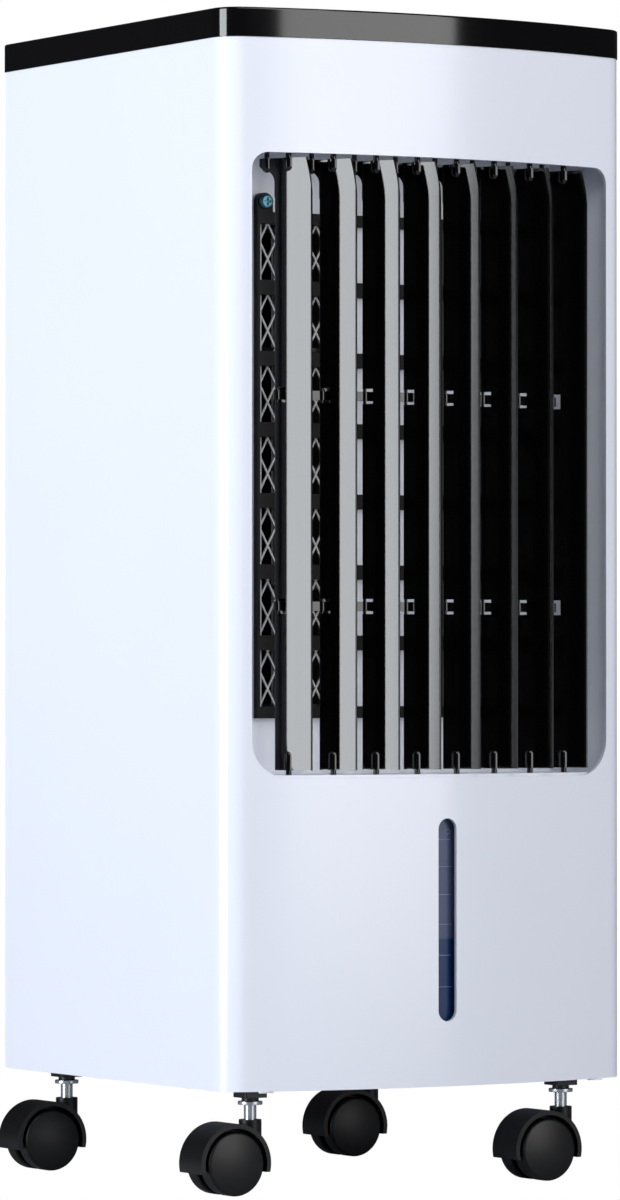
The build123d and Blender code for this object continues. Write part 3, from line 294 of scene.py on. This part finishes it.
@dataclass(frozen=True)
class Plated:
    """A plated or ground metal: turning marks, small gloss changes and dull spots."""

    name: str
    tint: str
    roughness: float
    mark_mm: float
    flecks_mm: float = 0.0

    def build(self) -> bpy.types.Material:
        """Build the material.

        Returns:
            The finished material.
        """
        material, tree, place = blank_material(self.name)
        stretched = add_node(tree, "ShaderNodeMapping", {"Vector": place, "Scale": (0.15, 0.15, 1.0)})
        marks = add_node(
            tree,
            "ShaderNodeTexNoise",
            {"Vector": stretched.outputs["Vector"], "Scale": per_metre(self.mark_mm), "Detail": 4.0},
        )
        if self.flecks_mm:
            cells = add_node(
                tree, "ShaderNodeTexVoronoi", {"Vector": place, "Scale": per_metre(self.flecks_mm)}
            )
            source = cells.outputs["Color"]
        else:
            source = marks.outputs["Fac"]
        gloss = add_node(
            tree,
            "ShaderNodeMapRange",
            {"Value": source, "To Min": self.roughness * 0.75, "To Max": self.roughness * 1.35},
        )
        bump = add_node(
            tree,
            "ShaderNodeBump",
            {"Height": marks.outputs["Fac"], "Strength": 0.12, "Distance": 0.05 * MM},
        )
        shader = add_node(
            tree,
            "ShaderNodeBsdfPrincipled",
            {
                "Base Color": srgb(self.tint),
                "Metallic": 1.0,
                "Roughness": gloss.outputs["Result"],
                "Normal": bump.outputs["Normal"],
            },
        )
        add_node(tree, "ShaderNodeOutputMaterial", {"Surface": shader.outputs["BSDF"]})
        return material


@dataclass(frozen=True)
class TankStyrene:
    """Blue-tinted translucent tank: slate where it holds air, deep blue where it holds water."""

    name: str = "tinted_styrene_tank"
    dry: str = "454d6b"
    wet: str = "0b2c58"
    water_line: float = 0.1284
    blur: float = 0.002

    def build(self) -> bpy.types.Material:
        """Build the material.

        Returns:
            The finished material.
        """
        material, tree, place = blank_material(self.name)
        height = add_node(tree, "ShaderNodeSeparateXYZ", {"Vector": place}).outputs["Z"]
        swirl = add_node(tree, "ShaderNodeTexNoise", {"Vector": place, "Scale": 60.0, "Detail": 3.0})
        wave = add_node(
            tree,
            "ShaderNodeMath",
            {0: swirl.outputs["Fac"], 1: self.blur * 1.2, 2: height},
            operation="MULTIPLY_ADD",
        )
        level = add_node(
            tree,
            "ShaderNodeMapRange",
            {"Value": wave.outputs[0], "From Min": self.water_line, "From Max": self.water_line + self.blur},
            interpolation_type="SMOOTHSTEP",
        )
        colour = add_node(
            tree,
            "ShaderNodeMix",
            {"Factor": level.outputs["Result"], MIX_FIRST: srgb(self.wet), MIX_SECOND: srgb(self.dry)},
            data_type="RGBA",
        )
        gloss = add_node(
            tree,
            "ShaderNodeMapRange",
            {"Value": swirl.outputs["Fac"], "To Min": 0.16, "To Max": 0.3},
        )
        shader = add_node(
            tree,
            "ShaderNodeBsdfPrincipled",
            {
                "Base Color": colour.outputs[MIX_RESULT],
                "Roughness": gloss.outputs["Result"],
                "IOR": 1.42,
                "Subsurface Weight": 0.15,
                "Subsurface Scale": 0.004,
            },
        )
        add_node(tree, "ShaderNodeOutputMaterial", {"Surface": shader.outputs["BSDF"]})
        return material


@dataclass(frozen=True)
class Striped:
    """A sheet with a repeating relief: corrugated paper, woven mesh or etched board tracks, with painted
    shade in the paper's and the mesh's valleys.
    """

    name: str
    ridge: str
    valley: str
    pitch_mm: tuple[float, float]
    roughness: float
    relief_mm: float
    lean: float = 0.0
    sheen: float = 0.0

    def build(self) -> bpy.types.Material:
        """Build the material.

        Returns:
            The finished material.
        """
        material, tree, place = blank_material(self.name)
        turned = add_node(tree, "ShaderNodeMapping", {"Vector": place, "Rotation": (0.0, self.lean, 0.0)})
        waves = []
        for direction, pitch in zip(("X", "Z"), self.pitch_mm):
            wave = add_node(
                tree,
                "ShaderNodeTexWave",
                {
                    "Vector": turned.outputs["Vector"],
                    # a wave texture repeats every pi / 10 of its scale
                    "Scale": per_metre(pitch) * math.pi / 10,
                    "Distortion": 0.15,
                },
                bands_direction=direction,
            )
            waves.append(wave.outputs["Fac"])
        weave = add_node(tree, "ShaderNodeMath", {0: waves[0], 1: waves[1]}, operation="MAXIMUM")
        grime = add_node(tree, "ShaderNodeTexNoise", {"Vector": place, "Scale": 45.0, "Detail": 4.0})
        relief_shade_and_grime = add_node(
            tree,
            "ShaderNodeMath",
            {0: weave.outputs[0], 1: grime.outputs["Fac"]},
            operation="MULTIPLY",
        )
        # the valley colour is painted shade in the pad's flutes and between the mesh's threads; on the board
        # the two greens are the mask's and the tracks' own colours; the grime noise dims the pattern at
        # random
        colour = add_node(
            tree,
            "ShaderNodeMix",
            {"Factor": relief_shade_and_grime.outputs[0], MIX_FIRST: srgb(self.valley), MIX_SECOND: srgb(self.ridge)},
            data_type="RGBA",
        )
        bump = add_node(
            tree,
            "ShaderNodeBump",
            {"Height": weave.outputs[0], "Strength": 0.6, "Distance": self.relief_mm * MM},
        )
        shader = add_node(
            tree,
            "ShaderNodeBsdfPrincipled",
            {
                "Base Color": colour.outputs[MIX_RESULT],
                "Roughness": self.roughness,
                "Sheen Weight": self.sheen,
                "Normal": bump.outputs["Normal"],
            },
        )
        add_node(tree, "ShaderNodeOutputMaterial", {"Surface": shader.outputs["BSDF"]})
        return material


@dataclass(frozen=True)
class Lamp:
    """A small indicator lamp under the display window."""

    name: str
    tint: str
    power: float

    def build(self) -> bpy.types.Material:
        """Build the material.

        Returns:
            The finished material.
        """
        material, tree, place = blank_material(self.name)
        grain = add_node(tree, "ShaderNodeTexNoise", {"Vector": place, "Scale": per_metre(0.8)})
        rough = add_node(
            tree, "ShaderNodeMapRange", {"Value": grain.outputs["Fac"], "To Min": 0.2, "To Max": 0.35}
        )
        shader = add_node(
            tree,
            "ShaderNodeBsdfPrincipled",
            {
                "Base Color": srgb(self.tint),
                "Roughness": rough.outputs["Result"],
                "Emission Color": srgb(self.tint),
                "Emission Strength": self.power,
            },
        )
        add_node(tree, "ShaderNodeOutputMaterial", {"Surface": shader.outputs["BSDF"]})
        return material


FINISHES: dict[str, Moulded | Plated | TankStyrene | Striped | Lamp] = {
    # Polished ABS: cool white, a soft wide highlight and a faint orange-peel skin
    "housing_white": Moulded("polished_white_abs", "e7ebf6", "e4e8f3", 0.2, spread=0.02, skin_height=0.012),
    # Satin polypropylene: the duller white of the inner mouldings
    "scroll_white": Moulded(
        "satin_white_polypropylene", "dde2eb", "d8dde7", 0.42, skin_mm=1.1, skin_height=0.05
    ),
    # Piano-black ABS: a mirror-like lid with barely any skin
    "lid_black": Moulded("piano_black_abs", "050506", "070708", 0.09, spread=0.015, skin_height=0.008),
    # Gloss black ABS louvres: slightly softer reflections than the lid
    "vane_black": Moulded(
        "gloss_black_abs", "050506", "070708", 0.07, spread=0.015, ior=1.54, skin_height=0.005
    ),
    # Smoked acrylic window: almost black, glassy surface
    "window_smoke": Moulded(
        "smoked_acrylic", "050507", "08080b", 0.05, spread=0.01, ior=1.49, skin_height=0.0
    ),
    # Soft-touch paint on the keys: no sharp reflections
    "key_grey": Moulded("soft_touch_keys", "26272a", "2b2c2f", 0.55, skin_mm=0.5, skin_height=0.1),
    # Satin black ABS and nylon mouldings with a fine spark-eroded skin
    "black_plastic": Moulded("satin_black_abs", "0d0d0f", "111113", 0.34, skin_mm=0.7, skin_height=0.06),
    "caster_black": Moulded(
        "textured_black_nylon", "060607", "09090a", 0.4, ior=1.4, skin_mm=0.45, skin_height=0.1
    ),
    "drum_black": Moulded("black_fan_polypropylene", "101012", "161618", 0.38, skin_mm=0.9, skin_height=0.05),
    # Grey moulded lattice that catches the light in front of the drum
    "mesh_grey": Moulded("grey_lattice_abs", "bcbdc0", "b0b1b5", 0.28, skin_mm=0.8, skin_height=0.04),
    "latch_white": Moulded("polished_white_latch", "e4e9f3", "e0e5ef", 0.2, skin_height=0.01),
    # Gel pack: saturated blue film over a soft filling
    "pack_blue": Moulded(
        "blue_gel_pack_film", "1f4f9e", "173f86", 0.22, skin_mm=6.0, skin_height=0.5, coat=0.3
    ),
    # Milky PVC riser pipe
    "pipe_clear": Moulded("milky_pvc_pipe", "cfd6dc", "c3cbd2", 0.3, skin_mm=2.0, skin_height=0.05),
    # Bright zinc plate with turning marks
    "zinc_steel": Plated("bright_zinc_plate", "c9ccd1", 0.24, 0.25),
    "steel": Plated("ground_steel", "a9abae", 0.3, 0.2),
    # Galvanised motor shell with its spangle
    "motor_steel": Plated("galvanised_shell", "9b9ea1", 0.36, 0.6, flecks_mm=5.0),
    "tank_clear": TankStyrene(),
    # Dust mesh: 1.6 mm threads drawn coarser than the real 0.5 mm so that the weave shows, with painted shade
    # between the threads
    "filter_mesh": Striped("woven_dust_mesh", "3a3b3f", "0c0c0e", (1.6, 1.6), 0.7, 0.3, sheen=0.1),
    # Cellulose pad: 7 mm flutes that lean 45 degrees, with painted shade in their valleys
    "pad_paper": Striped("fluted_cellulose", "9a7448", "4d3720", (7.0, 7.0), 0.85, 2.0, lean=0.78, sheen=0.2),
    # Circuit board: green solder mask over 1.2 mm tracks
    "board_green": Striped("solder_mask_board", "1c6a38", "0f4323", (2.4, 3.6), 0.35, 0.05),
}
# Low-gloss black of the guard, so that its bars stay darker than the lattice between them
GUARD_BLACK = Moulded(
    "low_gloss_black_guard", "070708", "0a0a0c", 0.45, ior=1.25, skin_mm=0.7, skin_height=0.05
)
# Blue-passivated zinc of the guard's screws
ZINC_BLUE = Plated("blue_zinc_plate", "4c7480", 0.36, 0.25)
# Printed marks, still water and a lit indicator
MARK_WHITE = Moulded("white_pad_print", "c9ccd2", "c2c5cb", 0.45, skin_mm=0.4, skin_height=0.03)
GAUGE_MARK = Moulded("grey_gauge_ink", "6d7589", "666e82", 0.45, skin_mm=0.4, skin_height=0.02)
WATER = Moulded("still_water", "2a5596", "234b88", 0.05, ior=1.33, skin_mm=14.0, skin_height=0.2)
LED_BLUE = Lamp("blue_indicator", "4fa8ff", 0.6)


# ---- the cooler -----------------------------------------------------------------------------------
@dataclass
class Wardrobe:
    """Builds each finish once and hands it out by the record's material slot."""

    built: dict[str, bpy.types.Material] = field(default_factory=dict)

    def finish(self, slot: str) -> bpy.types.Material:
        """Return the material of a slot, building it on first use."""
        if slot not in self.built:
            self.built[slot] = FINISHES[slot].build()
        return self.built[slot]

    def special(self, recipe: Moulded | Plated | Lamp) -> bpy.types.Material:
        """Return the material of a recipe that no slot has."""
        if recipe.name not in self.built:
            self.built[recipe.name] = recipe.build()
        return self.built[recipe.name]


@dataclass
class Cooler:
    """What all sub-assemblies share: the frame's nodes, bodies and slots, and the finishes."""

    frame: dict
    wardrobe: Wardrobe
    slot_of: dict[str, str] = field(init=False)
    body_of: dict[str, str] = field(init=False)

    def __post_init__(self) -> None:
        """Read each node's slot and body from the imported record."""
        record = self.frame["record"]
        self.slot_of = {s["node"]: s["material_slot"] for s in record["subparts"]}
        self.body_of = {n: body for body, nodes in record["behaviour"]["bodies"].items() for n in nodes}

    def mould(self, node: str, edge: Edge, recipe: Moulded | Plated | None = None) -> None:
        """Dress a CAD node as a rounded moulding that rides on the node's body.

        Args:
            node: the CAD node.
            edge: how far its edges are rounded.
            recipe: a finish of its own, or None for the slot's finish.
        """
        piece = rounded_copy(node, edge)
        self.dress(piece, self.body_of[node], self.slot_of[node], recipe)

    def dress(
        self, piece: bpy.types.Object, body: str, slot: str, recipe: Moulded | Plated | Lamp | None = None
    ) -> None:
        """Give a piece its material and body.

        Args:
            piece: the finished mesh.
            body: the body it rides on.
            slot: the record's slot whose finish it takes when no recipe is given.
            recipe: a finish of its own, or None for the slot's finish.
        """
        material = self.wardrobe.special(recipe) if recipe else self.wardrobe.finish(slot)
        paint(piece, material)
        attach(piece, body)
        LOG.info("%s rides on %s with %s", piece.name, body, material.name)

    def keep(self, node: str) -> None:
        """Leave a CAD node's mesh showing, with its slot's finish."""
        paint(self.frame["nodes"][node], self.wardrobe.finish(self.slot_of[node]))
        LOG.info("%s keeps its mesh", node)


@dataclass
class Case:
    """Housing, lid, rear frame, base and deck."""

    cooler: Cooler
    edges: dict[str, Edge] = field(
        default_factory=lambda: {
            "main_housing": Edge.SOFT,
            "top_panel": Edge.EASED,
            "rear_frame": Edge.EASED,
            "base_plate": Edge.CRISP,
            "mid_deck": Edge.CRISP,
            "housing_screws": Edge.NONE,
            "cord_gland": Edge.EASED,
        }
    )

    def build(self) -> None:
        """Round and dress every moulding of the case."""
        for node, edge in self.edges.items():
            self.cooler.mould(node, edge)


@dataclass
class Outlet:
    """Outlet frame, louvres, link bars, guard, lattice and screws."""

    cooler: Cooler
    louvres: int = 8

    def build(self) -> None:
        """Dress the outlet from the frame inwards."""
        self.cooler.mould("outlet_frame", Edge.EASED)
        for number in range(1, self.louvres + 1):
            self.cooler.mould(f"vane_{number}", Edge.CRISP)
        for node in ("crank_link_bar", "tie_bars"):
            self.cooler.mould(node, Edge.CRISP)
        self.cooler.mould("fan_guard", Edge.EASED, GUARD_BLACK)
        self.cooler.mould("guard_mesh", Edge.NONE)
        self.cooler.mould("guard_screws", Edge.NONE, ZINC_BLUE)
        self.cooler.mould("swing_motor", Edge.EASED)


@dataclass
class Blower:
    """Scroll, drum, shaft, bearing and motor."""

    cooler: Cooler

    def build(self) -> None:
        """Dress the blower."""
        self.cooler.mould("blower_housing", Edge.CRISP)
        for node in ("fan_drum", "drum_shaft"):
            self.cooler.mould(node, Edge.NONE)
        self.cooler.mould("drum_bearing", Edge.EASED)
        self.cooler.mould("fan_motor", Edge.SOFT)


@dataclass
class WaterSide:
    """Tank, gauge marks, water, packs, pump, riser, tray, pad and filter."""

    cooler: Cooler
    mark_heights_mm: tuple[float, ...] = (179.1, 165.2, 151.0, 135.8, 120.0, 103.9)
    mark_start: float = -3.0 * MM
    mark_ends: tuple[float, float] = (4.7 * MM, 5.8 * MM)
    mark_depth: float = 0.3 * MM
    mark_tall: float = 0.36 * MM
    ring_place: tuple[float, float] = (3.2 * MM, 183.2 * MM)
    ring_radii: tuple[float, float] = (1.3 * MM, 0.22 * MM)
    water_level: float = 129.9 * MM
    water_inset: float = 4.0 * MM
    water_side_inset: float = 6.0 * MM
    water_back_inset: float = 25.0 * MM
    water_bow: float = 13.0 * MM
    water_skin: float = 0.5 * MM
    ripple: float = 0.12 * MM
    ripple_turns: tuple[float, float] = (90.0, 70.0)

    def build(self) -> None:
        """Dress the water side and add the gauge marks and the water."""
        self.cooler.mould("tank", Edge.SOFT)
        self.cooler.mould("tank_latch", Edge.EASED)
        self.cooler.mould("ice_packs", Edge.ROUND)
        self.cooler.mould("pump", Edge.CRISP)
        self.cooler.mould("riser_pipe", Edge.NONE)
        self.cooler.mould("water_tray", Edge.CRISP)
        self.cooler.mould("filter_cover", Edge.EASED)
        self.cooler.keep("filter_mesh")
        self.cooler.keep("cooling_pad")
        self.gauge_marks()
        self.water_surface()

    def gauge_marks(self) -> None:
        """Raise the level marks and the full mark on the tank's front wall."""
        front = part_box("tank")[0].y
        for index, height in enumerate(self.mark_heights_mm):
            end = self.mark_ends[index % 2]
            middle = (self.mark_start + end) / 2
            bpy.ops.object.select_all(action="DESELECT")
            bpy.ops.mesh.primitive_cube_add(size=1.0, location=(middle, front, height * MM))
            mark = bpy.context.object
            mark.name = f"gauge_mark_{index + 1}"
            mark.scale = (end - self.mark_start, self.mark_depth, self.mark_tall)
            settle(mark)
            apply_modifier(mark, "BEVEL", width=0.1 * MM, segments=2)
            smooth(mark)
            self.cooler.dress(mark, "tank_drawer", "tank_clear", GAUGE_MARK)
        bpy.ops.object.select_all(action="DESELECT")
        bpy.ops.mesh.primitive_torus_add(
            location=(self.ring_place[0], front, self.ring_place[1]),
            rotation=(math.pi / 2, 0.0, 0.0),
            major_radius=self.ring_radii[0],
            minor_radius=self.ring_radii[1],
            major_segments=28,
            minor_segments=8,
        )
        ring = bpy.context.object
        ring.name = "gauge_full_mark"
        settle(ring)
        smooth(ring)
        self.cooler.dress(ring, "tank_drawer", "tank_clear", GAUGE_MARK)

    def water_surface(self) -> None:
        """Lay a thin skin of water over the packs, bowed at the front as the tank is."""
        low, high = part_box("tank")
        half = high.x - self.water_side_inset
        back = high.y - self.water_back_inset
        front = low.y + self.water_inset
        bpy.ops.object.select_all(action="DESELECT")
        bpy.ops.mesh.primitive_grid_add(
            x_subdivisions=24,
            y_subdivisions=24,
            size=1.0,
            location=(0.0, (front + back) / 2, self.water_level),
        )
        water = bpy.context.object
        water.name = "water_surface"
        water.scale = (2 * half, back - front, 1.0)
        settle(water)
        across, along = self.ripple_turns
        for vertex in water.data.vertices:
            share = (back - vertex.co.y) / (back - front)
            vertex.co.y += self.water_bow * share * (vertex.co.x / half) ** 2
            vertex.co.z += self.ripple * math.sin(vertex.co.x * across) * math.cos(vertex.co.y * along)
        apply_modifier(water, "SOLIDIFY", thickness=self.water_skin, offset=-1.0)
        smooth(water)
        self.cooler.dress(water, "tank_drawer", "pack_blue", WATER)


@dataclass
class Controls:
    """Display window, keys with their printed symbols, indicator lamps and board."""

    cooler: Cooler
    lift: float = 0.06 * MM
    ring_radii: tuple[float, float] = (2.9 * MM, 0.26 * MM)
    lamp_count: int = 4
    lamp_radius: float = 0.9 * MM
    lamp_depth: float = 0.16 * MM

    def build(self) -> None:
        """Dress the controls and print the key symbols."""
        self.cooler.mould("display_window", Edge.CRISP)
        self.cooler.mould("control_board", Edge.CRISP)
        for kind in ("power", "speed", "swing", "timer"):
            self.cooler.mould(f"{kind}_button", Edge.NONE)
            low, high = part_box(f"{kind}_button")
            centre = Vector(((low.x + high.x) / 2, (low.y + high.y) / 2, high.z))
            self.symbol(kind, centre)
        self.lamps()

    def symbol(self, kind: str, centre: Vector) -> None:
        """Print a plain symbol on a key.

        Args:
            kind: power, speed, swing or timer.
            centre: the middle of the key's top.
        """
        bars: dict[str, Sequence[tuple[float, float, float, float]]] = {
            "power": ((0.0, 1.6, 0.55, 2.6),),
            "speed": ((-1.6, -0.9, 0.7, 1.6), (0.0, -0.3, 0.7, 2.8), (1.6, 0.3, 0.7, 4.0)),
            "swing": ((-1.8, 0.0, 0.55, 3.6), (0.0, 0.0, 0.55, 3.6), (1.8, 0.0, 0.55, 3.6)),
            "timer": ((0.0, 0.8, 0.5, 2.0), (0.75, 0.0, 1.6, 0.5)),
        }
        parts = [self.bar(centre, bar) for bar in bars[kind]]
        if kind in ("power", "timer"):
            parts.append(self.ring(centre))
        bpy.ops.object.select_all(action="DESELECT")
        for part in parts:
            part.select_set(True)
        bpy.context.view_layer.objects.active = parts[0]
        if len(parts) > 1:
            bpy.ops.object.join()
        mark = bpy.context.view_layer.objects.active
        mark.name = f"{kind}_symbol"
        smooth(mark)
        self.cooler.dress(mark, f"{kind}_key", "key_grey", MARK_WHITE)

    def bar(self, centre: Vector, place: tuple[float, float, float, float]) -> bpy.types.Object:
        """Print one bar of a symbol.

        Args:
            centre: the middle of the key's top.
            place: the bar's offset in X and Y and its width and length, in millimetres.

        Returns:
            The bar.
        """
        x, y, width, length = (value * MM for value in place)
        bpy.ops.object.select_all(action="DESELECT")
        bpy.ops.mesh.primitive_cube_add(size=1.0, location=(centre.x + x, centre.y + y, centre.z))
        bar = bpy.context.object
        bar.scale = (width, length, 2 * self.lift)
        settle(bar)
        apply_modifier(bar, "BEVEL", width=0.04 * MM, segments=2)
        return bar

    def ring(self, centre: Vector) -> bpy.types.Object:
        """Print a thin ring round a symbol and return it."""
        bpy.ops.object.select_all(action="DESELECT")
        major, minor = self.ring_radii
        bpy.ops.mesh.primitive_torus_add(
            location=centre, major_radius=major, minor_radius=minor, major_segments=40, minor_segments=8
        )
        ring = bpy.context.object
        ring.scale = (1.0, 1.0, self.lift / minor)
        return settle(ring)

    def lamps(self) -> None:
        """Set a row of indicator lamps in the display window."""
        low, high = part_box("display_window")
        for index in range(self.lamp_count):
            x = low.x + (index + 1) * (high.x - low.x) / (self.lamp_count + 1)
            bpy.ops.object.select_all(action="DESELECT")
            bpy.ops.mesh.primitive_cylinder_add(
                vertices=24,
                radius=self.lamp_radius,
                depth=self.lamp_depth,
                location=(x, (low.y + high.y) / 2, high.z),
            )
            lamp = bpy.context.object
            lamp.name = f"indicator_{index + 1}"
            settle(lamp)
            apply_modifier(lamp, "BEVEL", width=0.05 * MM, segments=2, limit_method="ANGLE")
            smooth(lamp)
            self.cooler.dress(lamp, "cabinet", "window_smoke", LED_BLUE)


@dataclass
class Casters:
    """Sockets, stems and four casters."""

    cooler: Cooler
    corners: tuple[str, ...] = ("front_left", "front_right", "rear_left", "rear_right")

    def build(self) -> None:
        """Round and dress the casters."""
        self.cooler.mould("caster_sockets", Edge.CRISP)
        self.cooler.mould("caster_stems", Edge.CRISP)
        for corner in self.corners:
            self.cooler.mould(f"{corner}_caster_hood", Edge.SOFT)
            self.cooler.mould(f"{corner}_caster_axle", Edge.NONE)
            for side in ("front", "rear"):
                self.cooler.mould(f"{corner}_caster_wheel_{side}", Edge.NONE)


# ---- studio ---------------------------------------------------------------------------------------
@dataclass
class Softbox:
    """One rectangular studio light."""

    name: str
    place: tuple[float, float, float]
    aim: tuple[float, float, float]
    size: tuple[float, float]
    radiance: float
    tint: str = "ffffff"

    def build(self) -> None:
        """Hang the light and turn it to its aim."""
        data = bpy.data.lights.new(self.name, "AREA")
        data.shape = "RECTANGLE"
        data.size, data.size_y = self.size
        data.color = srgb(self.tint)[:3]
        # a flat panel of this radiance gives off pi x area x radiance
        data.energy = self.radiance * math.pi * self.size[0] * self.size[1]
        lamp = bpy.data.objects.new(self.name, data)
        bpy.context.scene.collection.objects.link(lamp)
        lamp.location = self.place
        lamp.rotation_euler = (Vector(self.aim) - Vector(self.place)).to_track_quat("-Z", "Y").to_euler()


@dataclass
class Studio:
    """Camera, floor, world and lights."""

    eye: tuple[float, float, float] = (-1.7294, -2.8494, 0.2671)
    heading: tuple[float, float] = (0.5174, 0.8557)
    climb_degrees: float = 0.609
    focal_length: float = 189.7
    sensor: float = 36.0
    far_clip: float = 60.0
    floor_size: float = 24.0
    lights: tuple[Softbox, ...] = (
        Softbox("left_softbox", (-2.0, -0.01, 0.6), (0.0, -0.01, 0.5), (0.97, 1.3), 10.9, "f7fbff"),
        Softbox("front_softbox", (0.66, -2.2, 0.95), (0.0, -0.1, 0.5), (1.28, 1.9), 3.9),
        Softbox("overhead_softbox", (-0.3, -1.7, 2.3), (0.0, -0.1, 0.3), (1.8, 1.2), 3.2),
    )

    def build(self) -> None:
        """Set up the whole studio."""
        self.camera()
        self.floor()
        self.world()
        for light in self.lights:
            light.build()
        bpy.context.scene.view_settings.view_transform = "Standard"
        bpy.context.scene.view_settings.look = "None"

    def camera(self) -> None:
        """Place the camera low in front of the left corner, looking very slightly up."""
        data = bpy.data.cameras.new("camera")
        data.lens = self.focal_length
        data.sensor_width = self.sensor
        data.sensor_fit = "AUTO"
        data.clip_end = self.far_clip
        camera = bpy.data.objects.new("camera", data)
        bpy.context.scene.collection.objects.link(camera)
        camera.location = self.eye
        rise = math.tan(math.radians(self.climb_degrees))
        aim = Vector((self.heading[0], self.heading[1], rise))
        camera.rotation_euler = aim.to_track_quat("-Z", "Y").to_euler()
        bpy.context.scene.camera = camera

    def floor(self) -> None:
        """Lay a pale studio floor."""
        bpy.ops.object.select_all(action="DESELECT")
        bpy.ops.mesh.primitive_plane_add(size=self.floor_size, location=(0.0, 0.0, 0.0))
        floor = bpy.context.object
        floor.name = "studio_floor"
        material = bpy.data.materials.new("pale_studio_floor")
        material.use_nodes = True
        tree = material.node_tree
        tree.nodes.clear()
        matt = add_node(tree, "ShaderNodeBsdfDiffuse", {"Color": srgb("b4b8c0")})
        bright = add_node(tree, "ShaderNodeEmission", {"Color": WHITE, "Strength": 1.0})
        seen = add_node(tree, "ShaderNodeLightPath").outputs["Is Camera Ray"]
        mix = add_node(
            tree, "ShaderNodeMixShader", {0: seen, 1: matt.outputs["BSDF"], 2: bright.outputs["Emission"]}
        )
        add_node(tree, "ShaderNodeOutputMaterial", {"Surface": mix.outputs["Shader"]})
        paint(floor, material)

    def world(self) -> None:
        """Surround the studio with dim light, and show white behind the object."""
        world = bpy.data.worlds.new("studio_world")
        bpy.context.scene.world = world
        world.use_nodes = True
        tree = world.node_tree
        tree.nodes.clear()
        dim = add_node(tree, "ShaderNodeBackground", {"Color": srgb("eef2fb"), "Strength": 0.05})
        white = add_node(tree, "ShaderNodeBackground", {"Color": WHITE, "Strength": 1.0})
        seen = add_node(tree, "ShaderNodeLightPath").outputs["Is Camera Ray"]
        mix = add_node(
            tree,
            "ShaderNodeMixShader",
            {0: seen, 1: dim.outputs["Background"], 2: white.outputs["Background"]},
        )
        add_node(tree, "ShaderNodeOutputWorld", {"Surface": mix.outputs["Shader"]})


def corners(box: Iterable[Iterable[float]]) -> list[list[float]]:
    """Return a box's two corners as plain lists of numbers."""
    return [[float(value) for value in corner] for corner in box]


def main() -> None:
    """Load the frame, dress every piece, and light the studio."""
    logging.basicConfig(level=logging.INFO, format="%(name)s: %(message)s")
    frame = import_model()
    cooler = Cooler(frame, Wardrobe())
    for assembly in (Case, Outlet, Blower, WaterSide, Controls, Casters):
        assembly(cooler).build()
    Studio().build()


if __name__ == "__main__":
    main()
